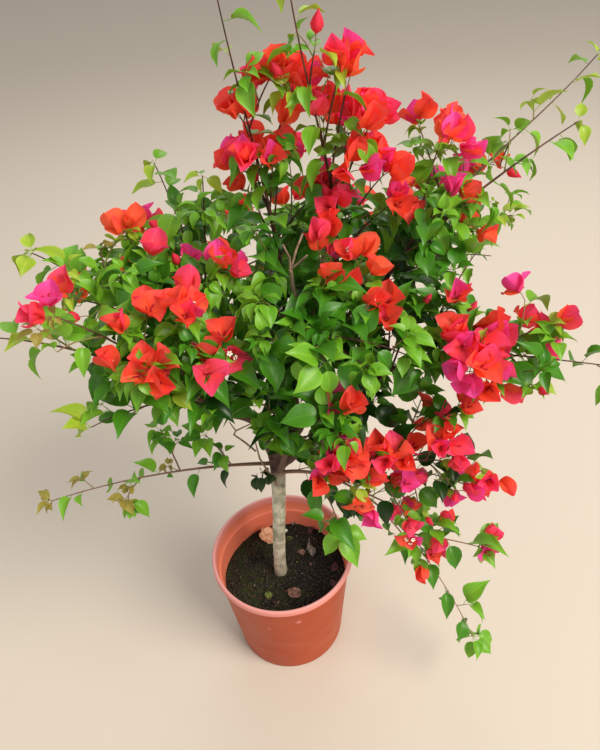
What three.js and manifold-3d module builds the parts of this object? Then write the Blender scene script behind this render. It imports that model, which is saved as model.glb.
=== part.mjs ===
// A bougainvillea bush on one short trunk, growing in a plastic nursery pot.
// Millimetres, +Z up. The origin is the middle of the pot's flat underside.
import * as THREE from "three";
import { mergeVertices } from "three/addons/utils/BufferGeometryUtils.js";
import Module from "manifold-3d";

const wasm = await Module();
wasm.setup();

// Clear space left between two solids that touch on the real plant
const CLEAR = 0.3;

// The pot: a thin moulded wall under a rolled lip, with a ledge inside where pots nest
const POT = {
  height: 230,
  baseRadius: 99,
  rimRadius: 125,
  taper: 0.094,
  wall: 3.5,
  rimWall: 2,
  lipHeight: 15,
  lipEdge: 1,
  lipRoll: 3.2,
  lipSteps: 4,
  ledgeHeight: 196,
  ledgeStep: 1.5,
  floor: 3,
  foot: 2,
  sides: 36,
};
const DRAIN = { holes: 6, radius: 6, ring: 66, sides: 8 };

// The potting mix fills the pot to this height above its underside
const SOIL_TOP = 160;

// The trunk rises from the mix, leans to the right and swells where it forks
const TRUNK = {
  foot: new THREE.Vector3(-7, -3, SOIL_TOP + CLEAR),
  height: 312,
  lean: 18,
  radius: 10.8,
  flare: 4.5,
  flareShare: 0.05,
  fork: 1.8,
  sides: 12,
  steps: 14,
};

// Boughs. from: the limb that bears it, at: how far up that limb, then its bearing and rise
// in degrees, its length, how far its middle stands above (arch) or beside (sway) the
// straight line, and its radius where it leaves and where it ends.
const BOUGHS = [
  { name: "leader", from: "trunk", at: 1, way: [26, 66, 280], arch: -30, sway: -20, radii: [8, 4.5] },
  { name: "left", from: "trunk", at: 0.95, way: [174, 68, 200], arch: 0, sway: -14, radii: [7.5, 4.5] },
  { name: "back", from: "trunk", at: 0.92, way: [68, 56, 225], arch: -14, sway: 0, radii: [7, 4] },
  { name: "front", from: "trunk", at: 0.88, way: [-74, 60, 200], arch: -12, sway: 0, radii: [5.5, 3.5] },
  { name: "right", from: "trunk", at: 0.91, way: [-16, 52, 240], arch: -6, sway: -6, radii: [6.5, 4] },
  { name: "centre", from: "leader", at: 0.3, way: [96, 78, 225], arch: -10, sway: 0, radii: [5.5, 4] },
  { name: "right_high", from: "leader", at: 0.62, way: [10, 56, 175], arch: -6, sway: 0, radii: [4.5, 3.5] },
  { name: "left_front", from: "left", at: 0.42, way: [-114, 50, 160], arch: -6, sway: 0, radii: [4.8, 3.5] },
  { name: "back_left", from: "back", at: 0.4, way: [144, 56, 170], arch: -8, sway: 0, radii: [4.5, 3.5] },
  { name: "back_right", from: "back", at: 0.5, way: [24, 48, 190], arch: -10, sway: 0, radii: [4.2, 3.2] },
  { name: "right_low", from: "right", at: 0.42, way: [-54, 26, 95], arch: 4, sway: 0, radii: [4.2, 3.4] },
  { name: "front_top", from: "front", at: 0.45, way: [-20, 78, 220], arch: -8, sway: 0, radii: [3.6, 3] },
];
const BOUGH = { sides: 6, steps: 5 };

// Masses of foliage. Each grows on one limb: its first shoot is its stem, which goes on from
// the limb, and the others leave the stem. A shoot is [how far along the stem, bearing, rise,
// length, arch, share of it that flowers]. twig is the length of the side twigs low on a shoot.
const MASSES = [
  {
    name: "spray_low_left", from: "trunk", at: 0.94, twig: 34,
    shoots: [[0, -166, 8, 330, 12, 0], [0.22, -150, 70, 85, 4, 0], [0.45, 152, 78, 80, 6, 0],
      [0.62, -130, -24, 35, 2, 0]],
  },
  {
    name: "spray_low_right", from: "trunk", at: 0.87, twig: 40,
    shoots: [[0, -26, -40, 435, 120, 0], [0.62, -20, 2, 115, 4, 0.3], [0.5, -36, -44, 90, -4, 0.4],
      [0.36, -26, -18, 125, 4, 0.3]],
  },
  {
    name: "foliage_left_front", from: "left_front", twig: 78,
    shoots: [[0, -146, 18, 150, 14, 0], [0.12, -152, 54, 215, 14, 0.4], [0.12, -172, 34, 240, 20, 0],
      [0.35, -42, 10, 60, 6, 0], [0.3, -94, 48, 65, 6, 1], [0.2, -52, 78, 130, 8, 0.4],
      [0.5, -134, 60, 75, 6, 1], [0.3, -144, 70, 115, 8, 0.6]],
  },
  {
    name: "foliage_left", from: "left", twig: 80,
    shoots: [[0, -166, 52, 275, 18, 0.2], [0.3, -146, 44, 145, 10, 0.5], [0.42, 102, 68, 100, 8, 0.5],
      [0.25, 24, 76, 100, 8, 0.3], [0.3, -14, 50, 125, 10, 0.3], [0.62, 100, 62, 55, 5, 0.5],
      [0.12, -64, 36, 145, 6, 0.4], [0.45, -4, 72, 75, 5, 0.4],
      [0.05, -26, 58, 125, 8, 0], [0.08, -42, 6, 85, 8, 0]],
  },
  {
    name: "foliage_back_left", from: "back_left", twig: 84,
    shoots: [[0, 180, 78, 255, 14, 0], [0.5, -112, 42, 70, 8, 0], [0.25, -66, 68, 205, -6, 0.1],
      [0.1, 146, 12, 145, 14, 0.4], [0.08, 94, 0, 160, 12, 0.3], [0.2, 180, 12, 165, 14, 0.3],
      [0.35, 118, 14, 105, 8, 0.5]],
  },
  {
    name: "foliage_centre", from: "centre", twig: 70,
    shoots: [[0, -124, 80, 360, -14, 0], [0.1, -100, 12, 70, 6, 0], [0.1, -130, 12, 90, 10, 0],
      [0.22, -156, 78, 95, 6, 0.4], [0.36, -144, 78, 95, 6, 0.5], [0.42, -24, 66, 110, 6, 0.5],
      [0.22, 10, 80, 90, 4, 0.6], [0.18, 12, 44, 80, 2, 0.6], [0.12, 146, 42, 50, 6, 0],
      [0.62, -26, 60, 100, 3, 0.2]],
  },
  {
    name: "foliage_leader", from: "leader", twig: 64,
    shoots: [[0, -114, 76, 420, -24, 0], [0.52, -46, 72, 110, 6, 0.4], [0.4, -60, 72, 115, 8, 0.6],
      [0.28, -18, 68, 115, 8, 0.5], [0.14, -26, 60, 120, 10, 0.5], [0.3, -110, 68, 120, 2, 0.6],
      [0.16, -100, 60, 75, 4, 1], [0.7, -52, 74, 70, 4, 0], [0.66, -156, 50, 45, 4, 0],
      [0.1, 4, 44, 100, 8, 0]],
  },
  {
    name: "foliage_right_high", from: "right_high", twig: 62,
    shoots: [[0, 24, 36, 375, -6, 0], [0.1, 4, 36, 250, 8, 0], [0.18, 40, 72, 105, 10, 0.6],
      [0.32, 112, 52, 115, 4, 0.6], [0.12, -4, 52, 80, 8, 0.6], [0.2, 12, -8, 90, 8, 0.6],
      [0.15, 24, 2, 185, 8, 0], [0.5, 108, 48, 35, 2, 1], [0.62, 106, -68, 40, 2, 1]],
  },
  {
    name: "foliage_back_right", from: "back_right", twig: 84,
    shoots: [[0, 32, 18, 210, 12, 0.3], [0.1, 76, 2, 185, 12, 0.4], [0.25, 38, 42, 140, 8, 0.4],
      [0.3, -4, 4, 155, 10, 0.3], [0.15, 102, 38, 125, 8, 0.4], [0.35, 62, -24, 120, 12, 0.3]],
  },
  {
    name: "foliage_right", from: "right", twig: 66,
    shoots: [[0, -16, 12, 300, 16, 0], [0.28, -4, 46, 65, 10, 1], [0.42, 8, 16, 65, 10, 1],
      [0.55, 2, 28, 70, 8, 1], [0.45, -72, -12, 50, 6, 1], [0.6, -70, -18, 45, 4, 1],
      [0.12, -22, 72, 100, 10, 0.5], [0.1, -98, 74, 115, 8, 0.4], [0.25, 36, 50, 150, 10, 0],
      [0.2, -8, 60, 100, 8, 0], [0.16, -56, 46, 95, 8, 0.3], [0.3, -56, 34, 85, 8, 0]],
  },
  {
    name: "foliage_right_low", from: "right_low", twig: 60,
    shoots: [[0, -8, -8, 195, 14, 0.2], [0.45, 22, -76, 140, 14, 0], [0.55, -2, -54, 90, 12, 0.6],
      [0.3, -58, 50, 35, 8, 1], [0.12, -32, -56, 105, 10, 0.4], [0.45, -14, 16, 50, 8, 1],
      [0.6, 6, 68, 95, 6, 0.6], [0.15, -92, 40, 50, 6, 1], [0.35, 16, 48, 70, 8, 0.4]],
  },
  {
    name: "foliage_front", from: "front", twig: 60,
    shoots: [[0, -60, -38, 120, 26, 0], [0.12, -44, 42, 120, 6, 0.4], [0.2, -64, 18, 55, 4, 1],
      [0.35, -64, -28, 45, 4, 1], [0.45, -34, -18, 75, 6, 0.6],
      [0.05, -138, 62, 125, 6, 0], [0.3, -52, 34, 105, 6, 0.3]],
  },
  {
    name: "foliage_front_top", from: "front_top", twig: 66,
    shoots: [[0, -80, 28, 125, 14, 0], [0.2, -50, 2, 105, 8, 0], [0.1, -104, 46, 65, 8, 0],
      [0.1, 10, 70, 75, 8, 0.6], [0.08, 10, 42, 105, 8, 0.4], [0.15, -20, 34, 80, 8, 0.6],
      [0.05, 58, 56, 120, 6, 0.2], [0.3, -134, 30, 80, 6, 0], [0.5, -20, -4, 105, 8, 0],
      [0.3, 162, 32, 75, 6, 0]],
  },
  {
    name: "foliage_back", from: "back", twig: 86,
    shoots: [[0, 88, 16, 185, 14, 0.3], [0.1, 126, 42, 155, 8, 0.3], [0.15, 64, 32, 165, 8, 0.4],
      [0.12, 88, 72, 145, 6, 0.3], [0.3, 110, -14, 130, 10, 0.3],
      [0.35, 62, -6, 115, 10, 0], [0.4, 96, 48, 100, 6, 0]],
  },
];

// The rule that every shoot grows by. Nodes stand this far apart along a shoot, each turned
// by the golden angle from the last, and carry a side twig or a leaf in turn.
const GOLDEN_ANGLE = 137.5;
const SHOOT = { first: 30, step: 60, last: 12, bend: 90, neck: 3, radii: [2.4, 1.4], onTrunk: 3 };
const TWIG = { spread: 52, lift: 0.35, arch: 0.08, first: 24, step: 26, last: 10, steps: 1,
  radii: [1.9, 1.2], shortest: 20, low: 1.1, wane: 0.6, least: 0.75, scatter: 0.5 };

// Which draw of chance settles the turn of a whorl, of a twig's leaves, and a lone leaf's size
const DRAW = { whorl: 7, turn: 2, leaf: 1 };

// A leaf is a pointed blade, widest near its stalk, and one here stands for two or three real
// ones. A whorl of three ends every shoot and twig: leaves, or the bracts round a flower.
const WHORL = 3;
const SIZES = [1, 0.8, 0.62];
const LEAF = { length: 70, width: 50, thick: 2.6, widest: 0.38, spread: 58, lift: 0.2, tilt: 0.3,
  whorl: 0.95, notch: 4, sunk: 1, scatter: 0.3 };
// Leaves are largest round the heart of the crown and shrink towards the ends of long shoots
const CROWN = { heart: new THREE.Vector3(60, 0, 690), inner: 180, outer: 400, full: 1.3, least: 0.55 };
const BRACT = { length: 46, width: 37, thick: 2.6, widest: 0.45, spread: 52, whorl: 1, scatter: 0.2 };

// How far a mass keeps from the next one, from a limb and from the pot, and how far its leaves
// and twigs pass from each other, except close to their own root
const SPACE = { masses: 3, limbs: 2, pot: 6, blades: 7, twigs: 6, root: 17 };

// How far apart the points are taken that stand for a shoot's line and for a limb
const SAMPLE = { shoot: 12, limb: 6 };

const COLOURS = {
  pot: 0xc4603f,
  soil: 0x1d1a15,
  bark: 0xa9a48c,
  bough: 0x6b5a46,
  leaf: 0x3f7f2a,
};

const UP = new THREE.Vector3(0, 0, 1);
const radians = THREE.MathUtils.degToRad;

// A share from 0 to 1 that depends on nothing but its whole-number keys
function chance(...keys) {
  let h = 2166136261;
  for (const key of keys) {
    h = Math.imul(h ^ (key + 1), 16777619);
    h ^= h >>> 13;
    h = Math.imul(h, 1540483477);
    h ^= h >>> 15;
  }
  return (h >>> 0) / 4294967296;
}

// The direction of a bearing, turned from +X towards +Y, and a rise above the level
function heading(bearing, rise) {
  const b = radians(bearing);
  const r = radians(rise);
  return new THREE.Vector3(Math.cos(r) * Math.cos(b), Math.cos(r) * Math.sin(b), Math.sin(r));
}

// A level direction square to another, for a limb's cross-sections
function levelBeside(direction) {
  const beside = new THREE.Vector3().crossVectors(direction, UP);
  return beside.length() > 0.05 ? beside.normalize() : new THREE.Vector3(1, 0, 0);
}

// A closed geometry as a solid that can be joined and cut
function solidOf(geometry) {
  const bare = geometry.clone();
  bare.deleteAttribute("normal");
  bare.deleteAttribute("uv");
  const merged = mergeVertices(bare, 1e-4);
  return new wasm.Manifold(
    new wasm.Mesh({
      numProp: 3,
      vertProperties: merged.getAttribute("position").array,
      triVerts: new Uint32Array(merged.index.array),
    }),
  );
}

// A solid's largest body as a geometry: loose scraps and sealed hollows are left behind
function geometryOf(solid) {
  const bodies = solid.decompose();
  const whole = bodies.reduce((a, b) => (b.volume() > a.volume() ? b : a));
  const mesh = whole.getMesh();
  const geometry = new THREE.BufferGeometry();
  geometry.setAttribute("position", new THREE.BufferAttribute(mesh.vertProperties, 3));
  geometry.setIndex(new THREE.BufferAttribute(mesh.triVerts, 1));
  geometry.computeVertexNormals();
  return geometry;
}

// A tapering limb: a capped cylinder laid along a curve, its sections square to the curve
function tapered(limb, grow, sides, steps) {
  const geometry = new THREE.CylinderGeometry(1, 1, 1, sides, steps);
  const place = geometry.getAttribute("position");
  const corner = new THREE.Vector3();
  for (let i = 0; i < place.count; i++) {
    corner.fromBufferAttribute(place, i);
    const share = limb.crowd ? (corner.y + 0.5) ** limb.crowd : corner.y + 0.5;
    const along = limb.curve.getTangent(share);
    const beside = limb.beside.clone().addScaledVector(along, -limb.beside.dot(along)).normalize();
    const across = new THREE.Vector3().crossVectors(beside, along);
    const radius = limb.radiusAt(share) + grow;
    const end = share === 1 ? grow : 0;
    const point = limb.curve.getPoint(share).addScaledVector(along, end);
    point.addScaledVector(beside, corner.x * radius).addScaledVector(across, corner.z * radius);
    place.setXYZ(i, point.x, point.y, point.z);
  }
  return geometry;
}

// The limb that runs from start on a bearing and rise, its middle arched up and swayed aside
function reach(start, [bearing, rise, length], arch, sway, radii, steps) {
  const tip = start.clone().addScaledVector(heading(bearing, rise), length);
  const middle = start.clone().lerp(tip, 0.5).addScaledVector(UP, 2 * arch);
  middle.addScaledVector(heading(bearing + 90, 0), 2 * sway);
  return {
    curve: new THREE.QuadraticBezierCurve3(start, middle, tip),
    beside: heading(bearing - 90, 0),
    radiusAt: (share) => THREE.MathUtils.lerp(radii[0], radii[1], share),
    length,
    steps,
    pointed: true,
  };
}

// The stem of a mass sets off the way its limb ends and bends over towards its own tip
function stemFrom(start, setOff, [bearing, rise, length], arch, radii, steps) {
  const tip = start.clone().addScaledVector(heading(bearing, rise), length);
  const first = start.clone().addScaledVector(setOff, length / 3);
  const second = start.clone().lerp(tip, 2 / 3).addScaledVector(UP, (4 * arch) / 3);
  return {
    curve: new THREE.CubicBezierCurve3(start, first, second, tip),
    beside: levelBeside(tip.clone().sub(start)),
    radiusAt: (share) => THREE.MathUtils.lerp(radii[0], radii[1], share),
    length,
    steps,
  };
}

function makePot() {
  const outer = (z) => POT.baseRadius + POT.taper * z;
  const lipFoot = POT.height - POT.lipHeight;
  const rolled = Array.from({ length: POT.lipSteps + 1 }, (_, i) => {
    const turn = (i * Math.PI) / POT.lipSteps;
    return [
      POT.rimRadius - POT.lipRoll * (1 - Math.cos(turn)),
      POT.height - POT.lipRoll * (1 - Math.sin(turn)),
    ];
  });
  const profile = [
    [0, 0],
    [POT.baseRadius - POT.foot, 0],
    [outer(POT.foot), POT.foot],
    [outer(lipFoot), lipFoot],
    [POT.rimRadius - POT.lipEdge, lipFoot],
    [POT.rimRadius, lipFoot + POT.lipEdge],
    ...rolled,
    [outer(POT.ledgeHeight) - POT.rimWall, POT.ledgeHeight + POT.ledgeStep],
    [outer(POT.ledgeHeight) - POT.wall, POT.ledgeHeight],
    [outer(POT.floor) - POT.wall, POT.floor],
    [0, POT.floor],
  ].map(([r, z]) => new THREE.Vector2(r, z));
  const shell = new THREE.LatheGeometry(profile, POT.sides);
  shell.rotateX(Math.PI / 2);
  let pot = solidOf(shell);
  for (let i = 0; i < DRAIN.holes; i++) {
    const turn = ((i + 0.5) * 2 * Math.PI) / DRAIN.holes;
    const hole = new THREE.CylinderGeometry(DRAIN.radius, DRAIN.radius, 4 * POT.floor, DRAIN.sides);
    hole.rotateX(Math.PI / 2);
    hole.translate(DRAIN.ring * Math.cos(turn), DRAIN.ring * Math.sin(turn), POT.floor / 2);
    pot = pot.subtract(solidOf(hole));
  }
  return geometryOf(pot);
}

function makeSoil() {
  const inner = (z) => POT.baseRadius + POT.taper * z - POT.wall - 2 * CLEAR;
  const profile = [
    [0, POT.floor + CLEAR],
    [inner(POT.floor), POT.floor + CLEAR],
    [inner(SOIL_TOP), SOIL_TOP],
    [0, SOIL_TOP],
  ].map(([r, z]) => new THREE.Vector2(r, z));
  const plug = new THREE.LatheGeometry(profile, POT.sides);
  plug.rotateX(Math.PI / 2);
  return geometryOf(solidOf(plug));
}

function makeTrunk() {
  const foot = TRUNK.foot;
  const top = foot.clone().add(new THREE.Vector3(TRUNK.lean, 0, TRUNK.height));
  const rise = new THREE.Vector3(0, 0, TRUNK.height / 3);
  return {
    curve: new THREE.CubicBezierCurve3(foot, foot.clone().add(rise), top.clone().sub(rise), top),
    beside: new THREE.Vector3(0, -1, 0),
    radiusAt: (share) =>
      TRUNK.radius + TRUNK.flare * Math.exp(-share / TRUNK.flareShare) + TRUNK.fork * share ** 4,
    crowd: 1.6,
    length: TRUNK.height,
    steps: TRUNK.steps,
  };
}

// A leaf that leaves a twig's side: a thin blade with a keel, its root sunk in the twig
function blade(root, out, face, size) {
  const across = new THREE.Vector3().crossVectors(out, face).normalize();
  const normal = new THREE.Vector3().crossVectors(across, out);
  const length = LEAF.length * size;
  const wide = root.clone().addScaledVector(out, LEAF.widest * length).addScaledVector(normal, LEAF.thick);
  const left = wide.clone().addScaledVector(across, (-LEAF.width * size) / 2);
  const right = wide.clone().addScaledVector(across, (LEAF.width * size) / 2);
  const tip = root.clone().addScaledVector(out, length);
  const heel = root.clone().addScaledVector(out, -LEAF.sunk);
  const geometry = new THREE.BufferGeometry().setFromPoints([heel, left, right, tip]);
  geometry.setIndex([0, 2, 1, 3, 1, 2, 0, 1, 3, 0, 3, 2]);
  return { geometry, edge: edgeOf(root, left, right, tip) };
}

// How large a leaf grows at a place in the crown
function vigour(place) {
  const { heart, inner, outer, full, least } = CROWN;
  const share = (place.distanceTo(heart) - inner) / (outer - inner);
  return THREE.MathUtils.lerp(full, least, THREE.MathUtils.clamp(share, 0, 1));
}

// The places on a leaf that must be in open space for the leaf to grow
function edgeOf(root, left, right, tip) {
  const ribs = [0.35, 0.6, 0.8].map((share) => root.clone().lerp(tip, share));
  const rims = [left, right].flatMap((side) => [side.clone().lerp(tip, 0.5), side.clone().lerp(root, 0.5)]);
  return [left, right, tip, ...ribs, ...rims];
}

// A three-sided shoot or twig and the whorl of leaves or bracts that ends it, as one closed
// body. whorl holds one group of corners for each side of the shoot, in turn round it.
function sprig(limb, spin, whorl, crest) {
  const corners = [];
  const ringAt = (share, place) => {
    for (let k = 0; k < WHORL; k++) {
      const { radial } = radialAt(limb, place, spin + (k * 360) / WHORL);
      corners.push(spotOn(limb, share).addScaledVector(radial, limb.radiusAt(share)));
    }
  };
  const shares = limb.pointed ? [SHOOT.neck / limb.length] : [0];
  for (let i = 1; i <= limb.steps; i++) shares.push(i / limb.steps);
  shares.forEach((share, i) => ringAt(share, i ? share : 0));
  const around = [0, 1, 2].map((k) => [k, (k + 1) % WHORL]);
  const faces = limb.pointed ? [] : [0, 2, 1];
  for (let ring = 0; ring < corners.length - WHORL; ring += WHORL)
    for (const [a, b] of around)
      faces.push(ring + a, ring + b, ring + b + WHORL, ring + a, ring + b + WHORL, ring + a + WHORL);
  const last = corners.length - WHORL;
  if (limb.pointed) {
    const root = corners.push(limb.curve.getPoint(0)) - 1;
    for (const [a, b] of around) faces.push(root, b, a);
  }
  const top = corners.push(crest) - 1;
  const groups = whorl.map((group) => group.map((corner) => corners.push(corner) - 1));
  const outline = groups.flat();
  outline.forEach((corner, i) => faces.push(top, corner, outline[(i + 1) % outline.length]));
  groups.forEach((group, k) => {
    const fan = [groups[(k + WHORL - 1) % WHORL].at(-1), ...group];
    for (let i = 1; i < fan.length; i++) faces.push(last + k, fan[i], fan[i - 1]);
    faces.push(last + k, last + ((k + 1) % WHORL), group.at(-1));
  });
  return new THREE.BufferGeometry().setFromPoints(corners).setIndex(faces);
}

// The middle of a limb as its straight steps run, which is where its own twigs and leaves sit
function spotOn(limb, share) {
  const step = Math.min(Math.floor(share * limb.steps), limb.steps - 1);
  const from = limb.curve.getPoint(step / limb.steps);
  return from.lerp(limb.curve.getPoint((step + 1) / limb.steps), share * limb.steps - step);
}

// The direction along a limb, and the one that leaves its side at a turn round it
function radialAt(limb, share, spin) {
  const along = limb.curve.getTangent(share);
  const beside = limb.beside.clone().addScaledVector(along, -limb.beside.dot(along)).normalize();
  const across = new THREE.Vector3().crossVectors(along, beside);
  const radial = beside.multiplyScalar(Math.cos(radians(spin)));
  return { along, radial: radial.addScaledVector(across, Math.sin(radians(spin))) };
}

// Grow every limb first, because the masses keep clear of all of them
const limbs = { trunk: makeTrunk() };
for (const { name, from, at, way, arch, sway, radii } of BOUGHS)
  limbs[name] = reach(spotOn(limbs[from], at), way, arch, sway, radii, BOUGH.steps);

const plans = MASSES.map(({ name, from, at, twig, shoots }) => {
  const bearer = limbs[from];
  const onTrunk = from === "trunk";
  const [, bearing, rise, length, arch] = shoots[0];
  const setOff = onTrunk ? heading(bearing, rise).addScaledVector(UP, (4 * arch) / length).normalize()
    : bearer.curve.getTangent(1);
  const start = onTrunk ? spotOn(bearer, at) : bearer.curve.getPoint(1).addScaledVector(setOff, CLEAR);
  const thick = onTrunk ? SHOOT.onTrunk : bearer.radiusAt(1);
  const steps = (span) => Math.ceil(span / SHOOT.bend);
  const stem = stemFrom(start, setOff, [bearing, rise, length], arch, [thick, SHOOT.radii[1]],
    steps(length) + 1);
  const others = shoots.slice(1).map(([share, turn, lift, span, bend]) =>
    reach(spotOn(stem, share), [turn, lift, span], bend, 0, SHOOT.radii, steps(span)));
  return { name, from, twig, shoots: [stem, ...others], flowers: shoots.map((shoot) => shoot[5]) };
});

// The skeleton points that say whose space a place is in
const skeleton = plans.map((plan) =>
  plan.shoots.flatMap((shoot) => shoot.curve.getPoints(Math.ceil(shoot.length / SAMPLE.shoot))));
const limbPoints = Object.values(limbs).flatMap((limb) => {
  const count = Math.ceil(limb.length / SAMPLE.limb);
  return limb.curve.getPoints(count).map((point, i) => ({ point, radius: limb.radiusAt(i / count) }));
});

// Whether all of these points lie in the mass's own space, clear of limbs and of the pot
function fits(points, own) {
  return points.every((p) => {
    if (p.z < POT.height + SPACE.pot && Math.hypot(p.x, p.y) < POT.rimRadius + SPACE.pot) return false;
    if (p.z < SPACE.pot) return false;
    if (limbPoints.some(({ point, radius }) => point.distanceTo(p) < radius + SPACE.limbs)) return false;
    const near = skeleton.map((points) => Math.min(...points.map((q) => q.distanceTo(p))));
    return near.every((distance, i) => i === own || distance > near[own] + SPACE.masses);
  });
}

// One mass as a list of geometries: its shoots, their twigs, and the leaves and bracts on them
function growMass(plan, own) {
  const pieces = [];
  const taken = [];

  // Whether a leaf or twig is in the mass's space and passes clear of what has already grown
  const open = (points, root) => fits(points, own) && !taken.some(({ point, gap }) =>
    point.distanceTo(root) > SPACE.root && points.some((p) => p.distanceTo(point) < gap));
  const takeUp = (points, gap) => taken.push(...points.map((point) => ({ point, gap })));
  const takeLimb = (limb) => {
    const count = Math.ceil(limb.length / SPACE.twigs);
    takeUp(Array.from({ length: count }, (_, i) => spotOn(limb, (i + 1) / count)), SPACE.twigs);
  };

  const leafAt = (limb, share, spin, ...keys) => {
    const { along, radial } = radialAt(limb, share, spin);
    const out = along.multiplyScalar(Math.cos(radians(LEAF.spread)));
    out.addScaledVector(radial, Math.sin(radians(LEAF.spread))).addScaledVector(UP, LEAF.lift).normalize();
    const face = UP.clone().addScaledVector(radial, -LEAF.tilt);
    const root = spotOn(limb, share);
    const full = vigour(root) * (1 - LEAF.scatter * chance(...keys));
    const sizes = SIZES.map((size) => blade(root, out, face, full * size));
    const leaf = sizes.find(({ edge }) => open(edge, root));
    if (!leaf) return;
    pieces.push(leaf.geometry);
    takeUp(leaf.edge, SPACE.blades);
  };

  const sprigOf = (limb, flowers, ...keys) => {
    const form = flowers ? BRACT : LEAF;
    const spin = 360 * chance(...keys, DRAW.whorl);
    const end = limb.curve.getPoint(1);
    const whorl = [];
    const edges = [];
    for (let k = 0; k < WHORL; k++) {
      const turn = spin + (k * 360) / WHORL;
      const { along, radial } = radialAt(limb, 1, turn);
      const sideways = new THREE.Vector3().crossVectors(along, radial);
      const out = along.multiplyScalar(Math.cos(radians(form.spread)));
      out.addScaledVector(radial, Math.sin(radians(form.spread)));
      const full = (flowers ? 1 : vigour(end)) * (form.whorl - form.scatter * chance(...keys, k));
      const leaves = SIZES.map((size) => {
        const wide = end.clone().addScaledVector(out, form.widest * form.length * full * size);
        const tip = end.clone().addScaledVector(out, form.length * full * size);
        const left = wide.clone().addScaledVector(sideways, (-form.width * full * size) / 2);
        const right = wide.clone().addScaledVector(sideways, (form.width * full * size) / 2);
        return [left, tip, right];
      });
      const leaf = leaves.find(([left, tip, right]) => open(edgeOf(end, left, right, tip), end));
      const notch = end.clone().addScaledVector(radialAt(limb, 1, turn + 180 / WHORL).radial, LEAF.notch);
      whorl.push([...(leaf ?? []), ...(flowers && leaf ? [] : [notch])]);
      if (leaf) edges.push(...edgeOf(end, leaf[0], leaf[2], leaf[1]));
    }
    takeUp(edges, SPACE.blades);
    const crest = end.clone().addScaledVector(limb.curve.getTangent(1), form.thick);
    pieces.push(sprig(limb, spin, whorl, crest));
  };

  const twigFrom = (shoot, share, spin, span) => {
    const { along, radial } = radialAt(shoot, share, spin);
    const out = along.multiplyScalar(Math.cos(radians(TWIG.spread)));
    out.addScaledVector(radial, Math.sin(radians(TWIG.spread))).addScaledVector(UP, TWIG.lift).normalize();
    const bearing = THREE.MathUtils.radToDeg(Math.atan2(out.y, out.x));
    const rise = THREE.MathUtils.radToDeg(Math.asin(out.z));
    const way = [bearing, rise, span];
    return reach(spotOn(shoot, share), way, TWIG.arch * span, 0, TWIG.radii, TWIG.steps);
  };

  plan.shoots.forEach(takeLimb);
  plan.shoots.forEach((shoot, s) => sprigOf(shoot, plan.flowers[s] > 0, own, s));
  plan.shoots.forEach((shoot, s) => {
    const turned = 360 * chance(own, s);
    for (let n = 0; SHOOT.first + n * SHOOT.step < shoot.length - SHOOT.last; n++) {
      const share = (SHOOT.first + n * SHOOT.step) / shoot.length;
      const spin = n * GOLDEN_ANGLE + turned;
      const full = plan.twig * (TWIG.low - TWIG.wane * share);
      const span = full * (TWIG.least + TWIG.scatter * chance(own, s, n));
      const twig = twigFrom(shoot, share, spin, span);
      const way = [0.25, 0.5, 0.75, 1].map((t) => spotOn(twig, t));
      if (n % 2 || span < TWIG.shortest || !open(way, spotOn(shoot, share))) {
        leafAt(shoot, share, spin, own, s, n, DRAW.leaf);
        continue;
      }
      takeLimb(twig);
      sprigOf(twig, share > 1 - plan.flowers[s], own, s, n);
      const start = 360 * chance(own, s, n, DRAW.turn);
      for (let k = 0; TWIG.first + k * TWIG.step < span - TWIG.last; k++)
        leafAt(twig, (TWIG.first + k * TWIG.step) / span, k * GOLDEN_ANGLE + start, own, s, n, k);
    }
  });
  return pieces;
}

function mesh(name, geometry, colour, roughness) {
  const material = new THREE.MeshStandardMaterial({ color: colour, roughness, metalness: 0 });
  const made = new THREE.Mesh(geometry, material);
  made.name = name;
  return made;
}

const potted = new THREE.Group();
potted.add(mesh("pot", makePot(), COLOURS.pot, 0.5));
potted.add(mesh("soil", makeSoil(), COLOURS.soil, 0.95));

const woody = new THREE.Group();
const trunkSolid = solidOf(tapered(limbs.trunk, 0, TRUNK.sides, TRUNK.steps));
woody.add(mesh("trunk", geometryOf(trunkSolid), COLOURS.bark, 0.85));

// A limb or a stem that starts inside the limb that bears it is cut back to stand clear of it,
// and of the limbs that left the same one before it
const cutBack = (solid, name) => {
  const { sides, steps } = name === "trunk" ? TRUNK : BOUGH;
  return solid.subtract(solidOf(tapered(limbs[name], CLEAR, sides, steps)));
};
BOUGHS.forEach(({ name, from }, i) => {
  const siblings = BOUGHS.slice(0, i).filter((bough) => bough.from === from);
  let limb = cutBack(solidOf(tapered(limbs[name], 0, BOUGH.sides, BOUGH.steps)), from);
  for (const sibling of siblings) limb = cutBack(limb, sibling.name);
  woody.add(mesh("bough_" + name, geometryOf(limb), COLOURS.bough, 0.8));
});

const crown = new THREE.Group();
plans.forEach((plan, own) => {
  const pieces = growMass(plan, own).map(solidOf);
  let mass = wasm.Manifold.union(pieces);
  if (plan.from === "trunk") mass = cutBack(mass, "trunk");
  crown.add(mesh(plan.name, geometryOf(mass), COLOURS.leaf, 0.6));
});

const plant = new THREE.Group();
plant.add(potted, woody, crown);
export default plant;
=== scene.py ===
# A bougainvillea bush on one short trunk, in a plastic nursery pot.
# Metres, +Z up. The origin is the middle of the pot's flat underside.
import math

import bmesh
import bpy
import numpy as np
from mathutils import Matrix, Vector, noise
from mathutils.kdtree import KDTree


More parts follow.
